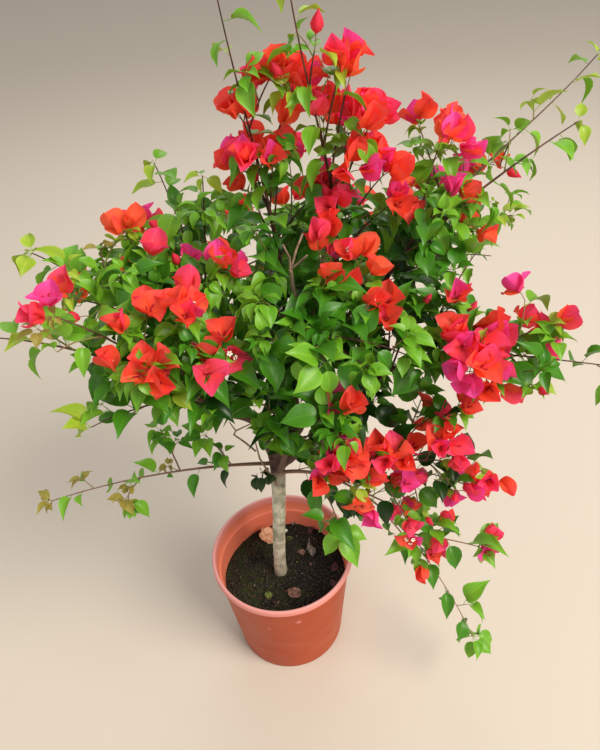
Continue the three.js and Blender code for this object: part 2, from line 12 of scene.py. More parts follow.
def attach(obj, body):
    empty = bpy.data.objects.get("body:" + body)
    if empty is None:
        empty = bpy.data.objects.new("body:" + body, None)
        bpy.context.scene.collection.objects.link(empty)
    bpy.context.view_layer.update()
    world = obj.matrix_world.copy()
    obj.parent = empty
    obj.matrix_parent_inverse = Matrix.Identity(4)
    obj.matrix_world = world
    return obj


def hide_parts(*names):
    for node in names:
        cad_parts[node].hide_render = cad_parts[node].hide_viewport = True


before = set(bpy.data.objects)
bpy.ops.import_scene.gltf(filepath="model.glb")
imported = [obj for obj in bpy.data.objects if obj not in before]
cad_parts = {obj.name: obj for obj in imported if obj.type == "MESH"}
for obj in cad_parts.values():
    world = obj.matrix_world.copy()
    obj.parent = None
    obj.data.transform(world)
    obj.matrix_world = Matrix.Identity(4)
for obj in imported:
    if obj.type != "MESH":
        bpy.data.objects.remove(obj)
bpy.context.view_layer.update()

# Camera. The bush was photographed from a standing height, looking down at it with the picture
# turned a little, so that the pot leans to the left at the foot of the frame.
MM = 0.001
EYE = Vector((57.7, -689.8, 1183.9)) * MM
LOOK_DOWN = math.radians(39.1)
PICTURE_TURN = math.radians(-4.8)
PICTURE_PX = (600, 750)
FOCAL_PX = 640
SENSOR_MM = 36

level_right = Vector((1, 0, 0))
look = Vector((0, math.cos(LOOK_DOWN), -math.sin(LOOK_DOWN)))
level_up = level_right.cross(look)
right = level_right * math.cos(PICTURE_TURN) + level_up * math.sin(PICTURE_TURN)
up = level_up * math.cos(PICTURE_TURN) - level_right * math.sin(PICTURE_TURN)
camera_data = bpy.data.cameras.new("camera")
camera_data.sensor_width = SENSOR_MM
camera_data.lens = SENSOR_MM * FOCAL_PX / PICTURE_PX[1]
camera = bpy.data.objects.new("camera", camera_data)
camera.matrix_world = Matrix.Translation(EYE) @ Matrix((right, up, -look)).transposed().to_4x4()
bpy.context.scene.collection.objects.link(camera)
bpy.context.scene.camera = camera


# Studio. A plain pale floor under an even sky, one broad lamp above the right shoulder and two
# weaker ones on the left and behind, so that the bush is lit as in open shade.
def linear(hex_colour):
    """An sRGB hex colour as the linear red, green, blue and alpha that a shader takes."""
    channels = [int(hex_colour[i : i + 2], 16) / 255 for i in (1, 3, 5)]
    return [c / 12.92 if c <= 0.04045 else ((c + 0.055) / 1.055) ** 2.4 for c in channels] + [1.0]


def add_node(tree, kind, inputs=(), **settings):
    """A node with its settings; an input takes a value, or the output that feeds it."""
    node = tree.nodes.new(kind)
    for name, value in settings.items():
        setattr(node, name, value)
    for socket, value in dict(inputs).items():
        if isinstance(value, bpy.types.NodeSocket):
            tree.links.new(value, node.inputs[socket])
        else:
            node.inputs[socket].default_value = value
    return node


def start_material(name):
    """A new material, its empty node tree, and the Object coordinates that its patterns follow."""
    material = bpy.data.materials.new(name)
    material.use_nodes = True
    tree = material.node_tree
    tree.nodes.clear()
    return material, tree, add_node(tree, "ShaderNodeTexCoord").outputs["Object"]


def end_material(tree, shader):
    """The shader goes to the material's surface."""
    add_node(tree, "ShaderNodeOutputMaterial", {"Surface": shader.outputs[0]})


FLOOR = {"side": 30.0, "drop": 0.2 * MM, "colour": "#C9BEB0", "roughness": 0.9}
SKY = {"colour": "#F8F7F4", "strength": 0.56}
LAMPS_AIM = Vector((0, 0, 0.5))
LAMPS = (  # name, place, width, watts, tint
    ("lamp_right", (3.1, -2.4, 4.2), 2.8, 365, "#FFF6EA"),
    ("lamp_left", (-2.6, -2.2, 2.6), 2.6, 18, "#F6F8FF"),
    ("lamp_back", (0.3, 2.2, 2.6), 2.2, 26, "#FFFFFF"),
)

# Board under matt emulsion paint: one warm grey, with no gloss and no grain.
floor_material, tree, place = start_material("pale_floor")
end_material(tree, add_node(tree, "ShaderNodeBsdfPrincipled", {
    "Base Color": linear(FLOOR["colour"]), "Roughness": FLOOR["roughness"]}))
floor_mesh = bpy.data.meshes.new("floor")
half = FLOOR["side"] / 2
corners = ((-half, -half), (half, -half), (half, half), (-half, half))
floor_mesh.from_pydata([(x, y, -FLOOR["drop"]) for x, y in corners], [], [(0, 1, 2, 3)])
floor_mesh.materials.append(floor_material)
floor = bpy.data.objects.new("floor", floor_mesh)
bpy.context.scene.collection.objects.link(floor)

world = bpy.data.worlds.new("sky")
world.use_nodes = True
world.node_tree.nodes["Background"].inputs["Color"].default_value = linear(SKY["colour"])
world.node_tree.nodes["Background"].inputs["Strength"].default_value = SKY["strength"]
bpy.context.scene.world = world
bpy.context.scene.view_settings.view_transform = "Standard"
for name, spot, width, watts, tint in LAMPS:
    lamp_data = bpy.data.lights.new(name, "AREA")
    lamp_data.energy = watts
    lamp_data.size = width
    lamp_data.color = linear(tint)[:3]
    lamp = bpy.data.objects.new(name, lamp_data)
    aim = LAMPS_AIM - Vector(spot)
    lamp.matrix_world = Matrix.Translation(spot) @ aim.to_track_quat("-Z", "Y").to_matrix().to_4x4()
    bpy.context.scene.collection.objects.link(lamp)


# Pot. A nursery pot of thin injection-moulded polypropylene: a tapered wall, a rolled lip, a
# ledge inside where pots nest, and drain holes. Sun and hands have faded its lip to pink.
# Base and rim are radii, and the wall leans out by the taper for each millimetre that it rises.
POT = {"height": 230, "base": 99, "rim": 125, "taper": 0.094, "wall": 3.5, "rim_wall": 2,
       "lip": 12.5, "lip_edge": 1.6, "lip_roll": 3.2, "ledge": 196, "ledge_step": 1.5, "floor": 3,
       "foot": 2, "sides": 160, "arc": 6, "sharp": 35}
DRAIN = {"holes": 6, "radius": 6, "ring": 66, "sides": 24}
RIPPLE = {"depth": 0.15, "width": 60}


def layered(tree, ground, *layers):
    """The ground colour with colours laid over it. A layer is the pattern that it follows, the
    pattern's low and high, how strongly the layer shows at each, and its colour."""
    colour = linear(ground)
    for pattern, low, high, at_low, at_high, over in layers:
        share = add_node(tree, "ShaderNodeMapRange", {
            "Value": pattern, 1: low, 2: high, 3: at_low, 4: at_high})
        mix = add_node(tree, "ShaderNodeMix", {
            0: share.outputs[0], 6: colour, 7: linear(over)}, data_type="RGBA")
        colour = mix.outputs[2]
    return colour


def new_piece(name, vertices, faces, material, edges=()):
    """A mesh object at the origin, from vertices in millimetres."""
    mesh = bpy.data.meshes.new(name)
    mesh.from_pydata([Vector(v) * MM for v in vertices], edges, faces)
    mesh.materials.append(material)
    mesh.shade_smooth()
    piece = bpy.data.objects.new(name, mesh)
    bpy.context.scene.collection.objects.link(piece)
    return piece


def lathe(profile, sides):
    """Vertices and faces of an outline of radius and height turned round the Z axis."""
    vertices, faces, rows = [], [], []
    for radius, height in profile:
        count = sides if radius > 0 else 1
        rows.append(range(len(vertices), len(vertices) + count))
        turns = [2 * math.pi * i / sides for i in range(count)]
        vertices += [(radius * math.cos(a), radius * math.sin(a), height) for a in turns]
    for low, high in zip(rows, rows[1:]):
        for i in range(sides):
            ring = [low[i % len(low)], low[(i + 1) % len(low)],
                    high[(i + 1) % len(high)], high[i % len(high)]]
            faces.append(list(dict.fromkeys(ring)))
    return vertices, faces


def apply_modifiers(piece):
    """The piece's mesh as its modifiers make it, with the modifiers gone."""
    graph = bpy.context.evaluated_depsgraph_get()
    made = bpy.data.meshes.new_from_object(
        piece.evaluated_get(graph), preserve_all_data_layers=True, depsgraph=graph)
    piece.modifiers.clear()
    piece.data = made
    return piece


def dress(piece, slot, *nodes):
    """The finished piece belongs to the plant's one body and stands for these solids."""
    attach(piece, "root")
    if nodes:
        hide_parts(*nodes)


def wall_radius(z):
    """The radius of the pot's outer wall at a height."""
    return POT["base"] + POT["taper"] * z


# Moulded polypropylene, dyed in the mass: satin brick red. The inner wall is painted lighter, as
# painted light falling into the pot. Handling has left dull stains 110 mm across, scuffs 70 by 35
# mm and two scrapes, and sun has bleached the lip; its top edge is painted paler as a painted
# highlight.
# The mould gives it an orange-peel skin, drawn 6 mm across so that it shows.
POT_BODY, POT_INSIDE_PAINTED_LIGHT, POT_SCUFF, POT_FADED, POT_EDGE_HIGHLIGHT = (
    "#A64018", "#EE8466", "#BE5E38", "#E08F86", "#D9A6A6")
POT_SCRAPES = (((21, -114, 181), 7, 0.5), ((-31, -109, 159), 5, 0.3))  # place, radius, strength
pot_plastic, tree, place = start_material("moulded_polypropylene")
x, y, height = add_node(tree, "ShaderNodeSeparateXYZ", {0: place}).outputs
flat = add_node(tree, "ShaderNodeCombineXYZ", {0: x, 1: y}).outputs[0]
from_axis = add_node(tree, "ShaderNodeVectorMath", {0: flat}, operation="LENGTH").outputs["Value"]
flare = add_node(tree, "ShaderNodeMath", {0: height, 1: POT["taper"]}, operation="MULTIPLY")
depth = add_node(tree, "ShaderNodeMath", {0: from_axis, 1: flare.outputs[0]}, operation="SUBTRACT")
broad = add_node(tree, "ShaderNodeTexNoise", {"Vector": place, "Scale": 9.0, "Detail": 3.0})
fine = add_node(tree, "ShaderNodeTexNoise", {"Vector": place, "Scale": 160.0, "Detail": 4.0})
wide = add_node(tree, "ShaderNodeMapping", {"Vector": place, "Scale": (10.0, 10.0, 20.0)})
scuffs = add_node(tree, "ShaderNodeTexNoise", {
    "Vector": wide.outputs[0], "Scale": 1.4, "Detail": 5.0}).outputs[0]
wall_core = (POT["base"] - POT["wall"] / 2) * MM
lip_foot = (POT["height"] - POT["lip"]) * MM
lip_top = POT["height"] * MM
layers = [
    (broad.outputs[0], 0.45, 0.75, 0, 0.35, POT_SCUFF),
    (scuffs, 0.62, 0.76, 0, 0.3, POT_SCUFF),
    # Painted light: inside the wall the plastic is painted lighter, for the light that falls on the
    # inner wall.
    (depth.outputs[0], wall_core - 0.4 * MM, wall_core + 0.4 * MM, 1, 0, POT_INSIDE_PAINTED_LIGHT),
    (height, lip_foot - 3 * MM, lip_foot + 4 * MM, 0, 0.9, POT_FADED)]
for spot, radius, strength in POT_SCRAPES:
    away = add_node(tree, "ShaderNodeVectorMath", {
        0: place, 1: Vector(spot) * MM}, operation="DISTANCE").outputs["Value"]
    layers.append((away, 0.4 * radius * MM, radius * MM, strength, 0, POT_FADED))
# A painted highlight: the top edge of the lip's roll is painted a pale greyish pink.
layers.append((height, lip_top - 2.2 * MM, lip_top, 0, 0.4, POT_EDGE_HIGHLIGHT))
rough = add_node(tree, "ShaderNodeMapRange", {"Value": scuffs, 1: 0.35, 2: 0.75, 3: 0.46, 4: 0.66})
bump = add_node(tree, "ShaderNodeBump", {
    "Height": fine.outputs[0], "Strength": 0.12, "Distance": 0.4 * MM})
end_material(tree, add_node(tree, "ShaderNodeBsdfPrincipled", {
    "Base Color": layered(tree, POT_BODY, *layers), "Roughness": rough.outputs[0], "IOR": 1.49,
    "Normal": bump.outputs[0]}))

# The outline runs from the middle of the underside up the wall, over the lip and down inside.
foot_radius = POT["base"] - POT["foot"]
under_lip = POT["height"] - POT["lip"]
ledge_radius = wall_radius(POT["ledge"])
profile = [(0, 0), (foot_radius, 0)]
profile += [(foot_radius + POT["foot"] * math.sin(a), POT["foot"] * (1 - math.cos(a)))
            for a in np.linspace(0.3, math.pi / 2, 4)]
profile += [(wall_radius(z), z) for z in np.linspace(2 * POT["foot"], under_lip, 12)]
profile += [(POT["rim"] - POT["lip_edge"], under_lip + 0.2),
            (POT["rim"], under_lip + POT["lip_edge"])]
profile += [(POT["rim"] - POT["lip_roll"] * (1 - math.cos(a)),
             POT["height"] - POT["lip_roll"] * (1 - math.sin(a)))
            for a in np.linspace(0, math.pi, POT["arc"] + 1)]
profile += [(ledge_radius - POT["rim_wall"], POT["ledge"] + POT["ledge_step"]),
            (ledge_radius - POT["rim_wall"] - 0.7, POT["ledge"] + POT["ledge_step"] / 3),
            (ledge_radius - POT["wall"], POT["ledge"]),
            (ledge_radius - POT["wall"] - 0.5, POT["ledge"] - 1)]
profile += [(wall_radius(z) - POT["wall"], z)
            for z in np.linspace(POT["ledge"] - 8, POT["floor"], 6)]
profile += [(0, POT["floor"])]
vertices, faces = lathe(profile, POT["sides"])
rippled = []
for x, y, z in vertices:
    ripple = noise.noise(Vector((x, y, z)) / RIPPLE["width"])
    swell = 1 + RIPPLE["depth"] / POT["rim"] * ripple
    rippled.append((x * swell, y * swell, z))
pot = new_piece("nursery_pot", rippled, faces, pot_plastic)
drill = bmesh.new()
for i in range(DRAIN["holes"]):
    turn = (i + 0.5) * 2 * math.pi / DRAIN["holes"]
    spot = Vector((math.cos(turn), math.sin(turn), 0)) * DRAIN["ring"] * MM
    bmesh.ops.create_cone(
        drill, cap_ends=True, segments=DRAIN["sides"], radius1=DRAIN["radius"] * MM,
        radius2=DRAIN["radius"] * MM, depth=4 * POT["floor"] * MM, matrix=Matrix.Translation(spot))
drill_mesh = bpy.data.meshes.new("drill")
drill.to_mesh(drill_mesh)
drill_object = bpy.data.objects.new("drill", drill_mesh)
bpy.context.scene.collection.objects.link(drill_object)
cut = pot.modifiers.new("drain_holes", "BOOLEAN")
cut.object = drill_object
cut.solver = "EXACT"
apply_modifiers(pot)
bpy.data.objects.remove(drill_object)
pot.data.shade_smooth()
pot.data.set_sharp_from_angle(angle=math.radians(POT["sharp"]))
dress(pot, "pot_plastic", "pot")


# Potting mix. Old peat and bark fines with a skin of moss and algae, settled well below the lip,
# with crumbs, bits of dead leaf, fallen bract and one lump of orange clay lying on it.
# It is heaped round the trunk. Swell and grain are the heights of its two roughnesses.
SOIL = {"top": 160, "rings": 60, "sides": 150, "swell": 3.4, "swell_width": 34, "sink": 1.4,
        "grain": 2.2, "grain_widths": (7, 2.6), "gap": 0.6, "bottom_gap": 0.3, "heap": 15,
        "heap_at": (-7, -3), "heap_spread": 24}
SOIL_EDGE = POT["wall"] + SOIL["gap"]
rim_of_soil = wall_radius(SOIL["top"]) - SOIL_EDGE


def soil_height(x, y):
    """The settled surface in millimetres."""
    from_heap = math.dist((x, y), SOIL["heap_at"])
    heap = SOIL["heap"] * math.exp(-((from_heap / SOIL["heap_spread"]) ** 2))
    spot = Vector((x, y, 3))
    rolling = SOIL["swell"] * noise.noise(spot / SOIL["swell_width"]) - SOIL["sink"]
    wide, narrow = SOIL["grain_widths"]
    grain = noise.noise(spot / wide) + 0.5 * noise.noise(spot / narrow)
    return SOIL["top"] + heap + rolling + SOIL["grain"] * grain


# Damp peat: nearly black and dull, with brown fines and pale grit 2.4 mm apart, soft patches of
# olive moss 40 mm across, thicker towards the left, and a surface of 3 mm crumbs.
PEAT, PEAT_FINES, MOSS, GRIT = "#0A0A06", "#201A13", "#2D3613", "#8A8468"
mix_material, tree, place = start_material("mossy_potting_mix")
patches = add_node(tree, "ShaderNodeTexNoise", {"Vector": place, "Scale": 26.0, "Detail": 6.0})
grit = add_node(tree, "ShaderNodeTexNoise", {
    "Vector": place, "Scale": 420.0, "Detail": 3.0}).outputs[0]
cells = add_node(tree, "ShaderNodeTexVoronoi", {"Vector": place, "Scale": 330.0})
sideways = add_node(tree, "ShaderNodeSeparateXYZ", {0: place}).outputs[0]
damper = add_node(tree, "ShaderNodeMapRange", {
    "Value": sideways, 1: -0.08, 2: 0.1, 3: 0.1, 4: -0.12})
mossy = add_node(tree, "ShaderNodeMath", {
    0: patches.outputs[0], 1: damper.outputs[0]}, operation="ADD").outputs[0]
base = layered(tree, PEAT, (grit, 0.35, 0.7, 0, 1, PEAT_FINES), (mossy, 0.42, 0.62, 0, 0.8, MOSS),
               (grit, 0.64, 0.72, 0, 0.7, GRIT))
bump = add_node(tree, "ShaderNodeBump", {
    "Height": cells.outputs[0], "Strength": 1.0, "Distance": 1.6 * MM})
end_material(tree, add_node(tree, "ShaderNodeBsdfPrincipled", {
    "Base Color": base, "Roughness": 0.92, "IOR": 1.4, "Normal": bump.outputs[0]}))

bottom = POT["floor"] + SOIL["bottom_gap"]
profile = [(0, bottom), (wall_radius(POT["floor"]) - SOIL_EDGE, bottom)]
profile += [(rim_of_soil * (1 - i / SOIL["rings"]), SOIL["top"]) for i in range(SOIL["rings"] + 1)]
vertices, faces = lathe(profile, SOIL["sides"])
vertices = [(x, y, soil_height(x, y) if z == SOIL["top"] else z) for x, y, z in vertices]
dress(new_piece("potting_mix", vertices, faces, mix_material), "potting_mix", "soil")


def standing_forms(name, count, shape):
    """The meshes that a scatter picks from, made by shape(number), kept out of the scene."""
    forms = bpy.data.collections.new(name)
    for number in range(count):
        vertices, faces, uvs = shape(number)
        mesh = bpy.data.meshes.new(f"{name}_{number}")
        mesh.from_pydata(vertices, [], faces)
        if uvs:
            layer = mesh.uv_layers.new(name="blade")
            for loop in mesh.loops:
                layer.data[loop.index].uv = uvs[loop.vertex_index]
        mesh.shade_smooth()
        forms.objects.link(bpy.data.objects.new(f"{name}_{number:02d}", mesh))
    return forms


def start_tree(name, **inputs):
    """A Geometry Nodes tree with a mesh in, a mesh out and these inputs, and its first node."""
    tree = bpy.data.node_groups.new(name, "GeometryNodeTree")
    for title, kind in {"Geometry": "Geometry", **inputs, "Finish": "Material"}.items():
        tree.interface.new_socket(title, in_out="INPUT", socket_type=f"NodeSocket{kind}")
    tree.interface.new_socket("Geometry", in_out="OUTPUT", socket_type="NodeSocketGeometry")
    return tree, add_node(tree, "NodeGroupInput")


def end_tree(tree, given, made):
    """What the tree has made, as real faces in the piece's finish."""
    real = add_node(tree, "GeometryNodeRealizeInstances", {0: made})
    finished = add_node(tree, "GeometryNodeSetMaterial", {
        "Geometry": real.outputs[0], "Material": given.outputs["Finish"]})
    add_node(tree, "NodeGroupOutput", {0: finished.outputs[0]})


# One of the forms stands on each point, turned and sized as the point says.
placing_tree, given = start_tree("forms_on_points", Forms="Collection")
turn, size, form = [
    add_node(placing_tree, "GeometryNodeInputNamedAttribute", {0: title}, data_type=kind).outputs[0]
    for title, kind in (("turn", "FLOAT_VECTOR"), ("size", "FLOAT_VECTOR"), ("form", "INT"))]
rotation = add_node(placing_tree, "FunctionNodeEulerToRotation", {0: turn})
kinds = add_node(placing_tree, "GeometryNodeCollectionInfo", {
    "Collection": given.outputs["Forms"], "Separate Children": True, "Reset Children": True})
placed = add_node(placing_tree, "GeometryNodeInstanceOnPoints", {
    "Points": given.outputs["Geometry"], "Instance": kinds.outputs[0], "Pick Instance": True,
    "Instance Index": form, "Rotation": rotation.outputs[0], "Scale": size})
end_tree(placing_tree, given, placed.outputs[0])


def grow(name, tree, spots, edges, values, material, **inputs):
    """The mesh that a tree makes of spots and edges, in millimetres. A value that the spots
    bear is its name, its kind, the field that holds it, and the list of them."""
    piece = new_piece(name, spots, [], material, edges)
    for title, kind, field, listed in values:
        piece.data.attributes.new(title, kind, "POINT").data.foreach_set(field, listed)
    growth = piece.modifiers.new(name, "NODES")
    growth.node_group = tree
    inputs["Finish"] = material
    for item in tree.interface.items_tree:
        if item.in_out == "INPUT" and item.name in inputs:
            growth[item.identifier] = inputs[item.name]
    return apply_modifiers(piece)


def scatter(name, forms, places, material):
    """One joined mesh of forms. A place is (point, turning, sizes, form number)."""
    turns = [angle for _, turning, _, _ in places for angle in turning.to_euler()]
    sizes = [side * MM for _, _, sides, _ in places for side in sides]
    values = (("turn", "FLOAT_VECTOR", "vector", turns), ("size", "FLOAT_VECTOR", "vector", sizes),
              ("form", "INT", "value", [number for _, _, _, number in places]))
    spots = [spot for spot, _, _, _ in places]
    return grow(name, placing_tree, spots, [], values, material, Forms=forms)


def chance(*keys):
    """A share from 0 to 1 that depends on nothing but its whole-number keys."""
    h = 2166136261
    for key in keys:
        h = ((h ^ (key + 1)) * 16777619) & 0xFFFFFFFF
        h ^= h >> 13
        h = (h * 1540483477) & 0xFFFFFFFF
        h ^= h >> 15
    return h / 4294967296


def on_soil(seed, i, margin):
    """A place across the mix by chance, that far from its edge or further."""
    radius = (rim_of_soil - margin) * math.sqrt(chance(seed, i, 1))
    bearing = 2 * math.pi * chance(seed, i, 2)
    return radius * math.cos(bearing), radius * math.sin(bearing)


def rough_ball(steps, shift, *knobs):
    """A ball one unit across, roughened by knobs: (height, how many of them to the unit)."""
    ball = bmesh.new()
    bmesh.ops.create_icosphere(ball, subdivisions=steps, radius=0.5)
    for v in ball.verts:
        v.co *= 1 + sum(height * noise.noise(v.co * pitch + shift) for height, pitch in knobs)
    ball.verts.index_update()
    return [v.co.copy() for v in ball.verts], [[v.index for v in f.verts] for f in ball.faces]


def crumb_shape(number):
    """A rough crumb about one unit across."""
    return *rough_ball(1, Vector((number * 9, 0, 0)), (0.5, 2.3)), None


def flecked(name, colours, scale, detail, shown, rough, weathered=()):
    """A plain material with flecks or streaks of its second colour, so many to the metre. They
    come up between the two shown shares of a noise. Weathered layers lie over them by height."""
    material, tree, place = start_material(name)
    flecks = add_node(tree, "ShaderNodeTexNoise", {
        "Vector": place, "Scale": scale, "Detail": detail})
    layers = [(flecks.outputs[0], *shown, 0, 1, colours[1])]
    for layer in weathered:
        layers.append((add_node(tree, "ShaderNodeSeparateXYZ", {0: place}).outputs[2], *layer))
    end_material(tree, add_node(tree, "ShaderNodeBsdfPrincipled", {
        "Base Color": layered(tree, colours[0], *layers), "Roughness": rough}))
    return material


# Crumbs of peat and composted bark, dull and dry: dark brown with tan flecks 3 mm apart.
crumb_material = flecked(
    "peat_and_bark_crumbs", ("#110E0A", "#43382A"), 300.0, 2.0, (0.4, 0.66), 0.9)
CRUMBS = {"count": 3800, "across": (1.2, 7.5), "lift": 0.12, "seed": 7, "margin": 3, "forms": 4}
least, most = CRUMBS["across"]
places = []
for i in range(CRUMBS["count"]):
    x, y = on_soil(CRUMBS["seed"], i, CRUMBS["margin"])
    across = least + (most - least) * chance(CRUMBS["seed"], i, 3) ** 4
    spin = Matrix.Rotation(6.3 * chance(CRUMBS["seed"], i, 4), 3, "Z") @ Matrix.Rotation(i, 3, "X")
    size = Vector((1, 0.7 + 0.3 * chance(CRUMBS["seed"], i, 5), 0.6)) * across
    spot = Vector((x, y, soil_height(x, y) + CRUMBS["lift"] * across))
    places.append((spot, spin, size, i % CRUMBS["forms"]))
crumb_forms = standing_forms("crumb", CRUMBS["forms"], crumb_shape)
dress(scatter("soil_crumbs", crumb_forms, places, crumb_material), "potting_mix")

# Soft-fired clay, broken and dusty: light orange, blotched paler and pitted every 5 mm.
clay_material, tree, place = start_material("broken_orange_clay")
blotches = add_node(tree, "ShaderNodeTexNoise", {
    "Vector": place, "Scale": 190.0, "Detail": 5.0}).outputs[0]
bump = add_node(tree, "ShaderNodeBump", {"Height": blotches, "Strength": 0.5, "Distance": 0.8 * MM})
end_material(tree, add_node(tree, "ShaderNodeBsdfPrincipled", {
    "Base Color": layered(tree, "#DD9461", (blotches, 0.35, 0.65, 0, 1, "#F6CBAA")),
    "Roughness": 0.85, "Normal": bump.outputs[0]}))
LUMP = {"place": (-30, 77), "lift": 9, "size": (28, 24, 42), "steps": 4,
        "knobs": ((0.45, 2.6), (0.22, 7), (0.08, 19))}
vertices, faces = rough_ball(LUMP["steps"], Vector((0, 0, 0)), *LUMP["knobs"])
seat = Vector((*LUMP["place"], SOIL["top"] + LUMP["lift"]))
vertices = [Vector(c * side for c, side in zip(v, LUMP["size"])) + seat for v in vertices]
dress(new_piece("clay_lump", vertices, faces, clay_material), "potting_mix")


# Trunk and boughs. Living bougainvillea wood: a pale grey-green trunk with fine vertical cracks
# and lenticels, browner and smoother boughs that part at its top, each tapering to its mass.
TRUNK = {"foot": (-7, -3, 160.3), "height": 312, "lean": 18, "radius": 10.8, "flare": 2.6,
         "flare_share": 0.05, "fork": 1.8}
# A bough: the limb that bears it, how far up that limb, (bearing, rise, length), arch, sway, radii
BOUGHS = {
    "leader": ("trunk", 1, (26, 66, 280), -30, -20, (8, 4.5)),
    "left": ("trunk", 0.95, (174, 68, 200), 0, -14, (7.5, 4.5)),
    "back": ("trunk", 0.92, (68, 56, 225), -14, 0, (7, 4)),
    "front": ("trunk", 0.88, (-74, 60, 200), -12, 0, (5.5, 3.5)),
    "right": ("trunk", 0.91, (-16, 52, 240), -6, -6, (6.5, 4)),
    "centre": ("leader", 0.3, (96, 78, 225), -10, 0, (5.5, 4)),
    "right_high": ("leader", 0.62, (10, 56, 175), -6, 0, (4.5, 3.5)),
    "left_front": ("left", 0.42, (-114, 50, 160), -6, 0, (4.8, 3.5)),
    "back_left": ("back", 0.4, (144, 56, 170), -8, 0, (4.5, 3.5)),
    "back_right": ("back", 0.5, (24, 48, 190), -10, 0, (4.2, 3.2)),
    "right_low": ("right", 0.42, (-54, 26, 95), 4, 0, (4.2, 3.4)),
    "front_top": ("front", 0.45, (-20, 78, 220), -8, 0, (3.6, 3)),
}
SWELL = {"share": 0.45, "over": 12}  # of a bough where it leaves its bearer
BARK = {"voxel": 1.25, "ring": 4, "sides": 20, "soften": 3}
# A relief: its height, and how wide, deep and tall each of its forms is
RELIEF = {
    "lump": (0.9, (13, 13, 13)), "crack": (0.34, (2.2, 2.2, 14)), "lenticel": (0.16, (9, 9, 1.7))}
SPURS = (  # healed stubs on the trunk: how far up, turn round it, length and radius
    (0.395, 92, 15, 2.6), (0.62, 300, 13, 2.2), (0.8, 30, 16, 2.6), (0.93, 340, 18, 3))
UP = Vector((0, 0, 1))


def heading(bearing, rise):
    """The direction of a bearing, turned from +X towards +Y, and a rise above the level."""
    b, r = math.radians(bearing), math.radians(rise)
    return Vector((math.cos(r) * math.cos(b), math.cos(r) * math.sin(b), math.sin(r)))


def eased(points, share, left):
    """The points of a Bezier curve narrowed to the share along it until so many are left."""
    while len(points) > left:
        points = [a.lerp(b, share) for a, b in zip(points, points[1:])]
    return points


class Limb:
    """A tapering limb along a Bezier curve of three or four points, in millimetres."""

    def __init__(self, points, beside, radii, length):
        self.points, self.beside, self.radii, self.length = points, beside, radii, length

    def spot(self, share):
        return eased(self.points, share, 1)[0].copy()

    def along(self, share):
        start, end = eased(self.points, share, 2)
        return (end - start).normalized()

    def radius(self, share):
        return self.radii[0] + (self.radii[1] - self.radii[0]) * share

    def radial(self, share, spin):
        """The direction along the limb, and the one that leaves its side at a turn round it."""
        along = self.along(share)
        beside = (self.beside - along * self.beside.dot(along)).normalized()
        turn = math.radians(spin)
        return along, beside * math.cos(turn) + along.cross(beside) * math.sin(turn)


class Shoot(Limb):
    """A limb that thins quickly near its foot and slowly beyond."""

    def radius(self, share):
        return self.radii[1] + (self.radii[0] - self.radii[1]) * (1 - share) ** 2


class Trunk(Limb):
    """The trunk, with a flare at its foot and a swelling where it forks."""

    def radius(self, share):
        flare = TRUNK["flare"] * math.exp(-share / TRUNK["flare_share"])
        return TRUNK["radius"] + flare + TRUNK["fork"] * share**4


def reach(start, way, arch, sway, radii):
    """The limb that runs from start on a bearing and rise, arched up and swayed aside."""
    bearing, rise, length = way
    tip = start + heading(bearing, rise) * length
    middle = (start + tip) / 2 + UP * 2 * arch + heading(bearing + 90, 0) * 2 * sway
    return Limb([start, middle, tip], heading(bearing - 90, 0), radii, length)


def tube(limb, step, sides, swell=0.0):
    """A closed tube round a limb; swell thickens its foot into the limb that bears it."""
    count = max(3, math.ceil(limb.length / step))
    vertices, faces = [], []
    for i in range(count + 1):
        share = i / count
        radius = limb.radius(share) * (1 + swell * math.exp(-share * limb.length / SWELL["over"]))
        for k in range(sides):
            _, radial = limb.radial(share, 360 * k / sides)
            vertices.append(limb.spot(share) + radial * radius)
    for i in range(count):
        for k in range(sides):
            a, b = i * sides + k, i * sides + (k + 1) % sides
            faces.append((a, b, b + sides, a + sides))
    faces.append(tuple(reversed(range(sides))))
    faces.append(tuple(range(count * sides, (count + 1) * sides)))
    return vertices, faces


# Living bark, corky and matt: greyish cream, stained in patches 18 mm across and olive at the damp
# foot, purple brown above the lowest branches, with dark upright cracks 2.4 mm apart.
BARK_PALE, BARK_STAIN, BARK_OLIVE, BARK_BROWN, BARK_CRACK = (
    "#D6D4BC", "#9C9A84", "#6E6F52", "#644A40", "#4A4034")
bark_material, tree, place = start_material("bougainvillea_bark")
height = add_node(tree, "ShaderNodeSeparateXYZ", {0: place}).outputs[2]
upright = add_node(tree, "ShaderNodeMapping", {
    "Vector": place, "Scale": (1.0, 1.0, 0.22)}).outputs[0]
cracks = add_node(tree, "ShaderNodeTexNoise", {
    "Vector": upright, "Scale": 420.0, "Detail": 4.0}).outputs[0]
stains = add_node(tree, "ShaderNodeTexNoise", {"Vector": place, "Scale": 55.0, "Detail": 5.0})
base = layered(
    tree, BARK_PALE, (stains.outputs[0], 0.4, 0.62, 0, 1, BARK_STAIN),
    (height, 165 * MM, 200 * MM, 0.7, 0, BARK_OLIVE),
    (height, 400 * MM, 455 * MM, 0, 1, BARK_BROWN), (cracks, 0.55, 0.72, 0, 0.55, BARK_CRACK))
bump = add_node(tree, "ShaderNodeBump", {"Height": cracks, "Strength": 0.4, "Distance": 0.6 * MM})
end_material(tree, add_node(tree, "ShaderNodeBsdfPrincipled", {
    "Base Color": base, "Roughness": 0.82, "IOR": 1.45, "Normal": bump.outputs[0]}))

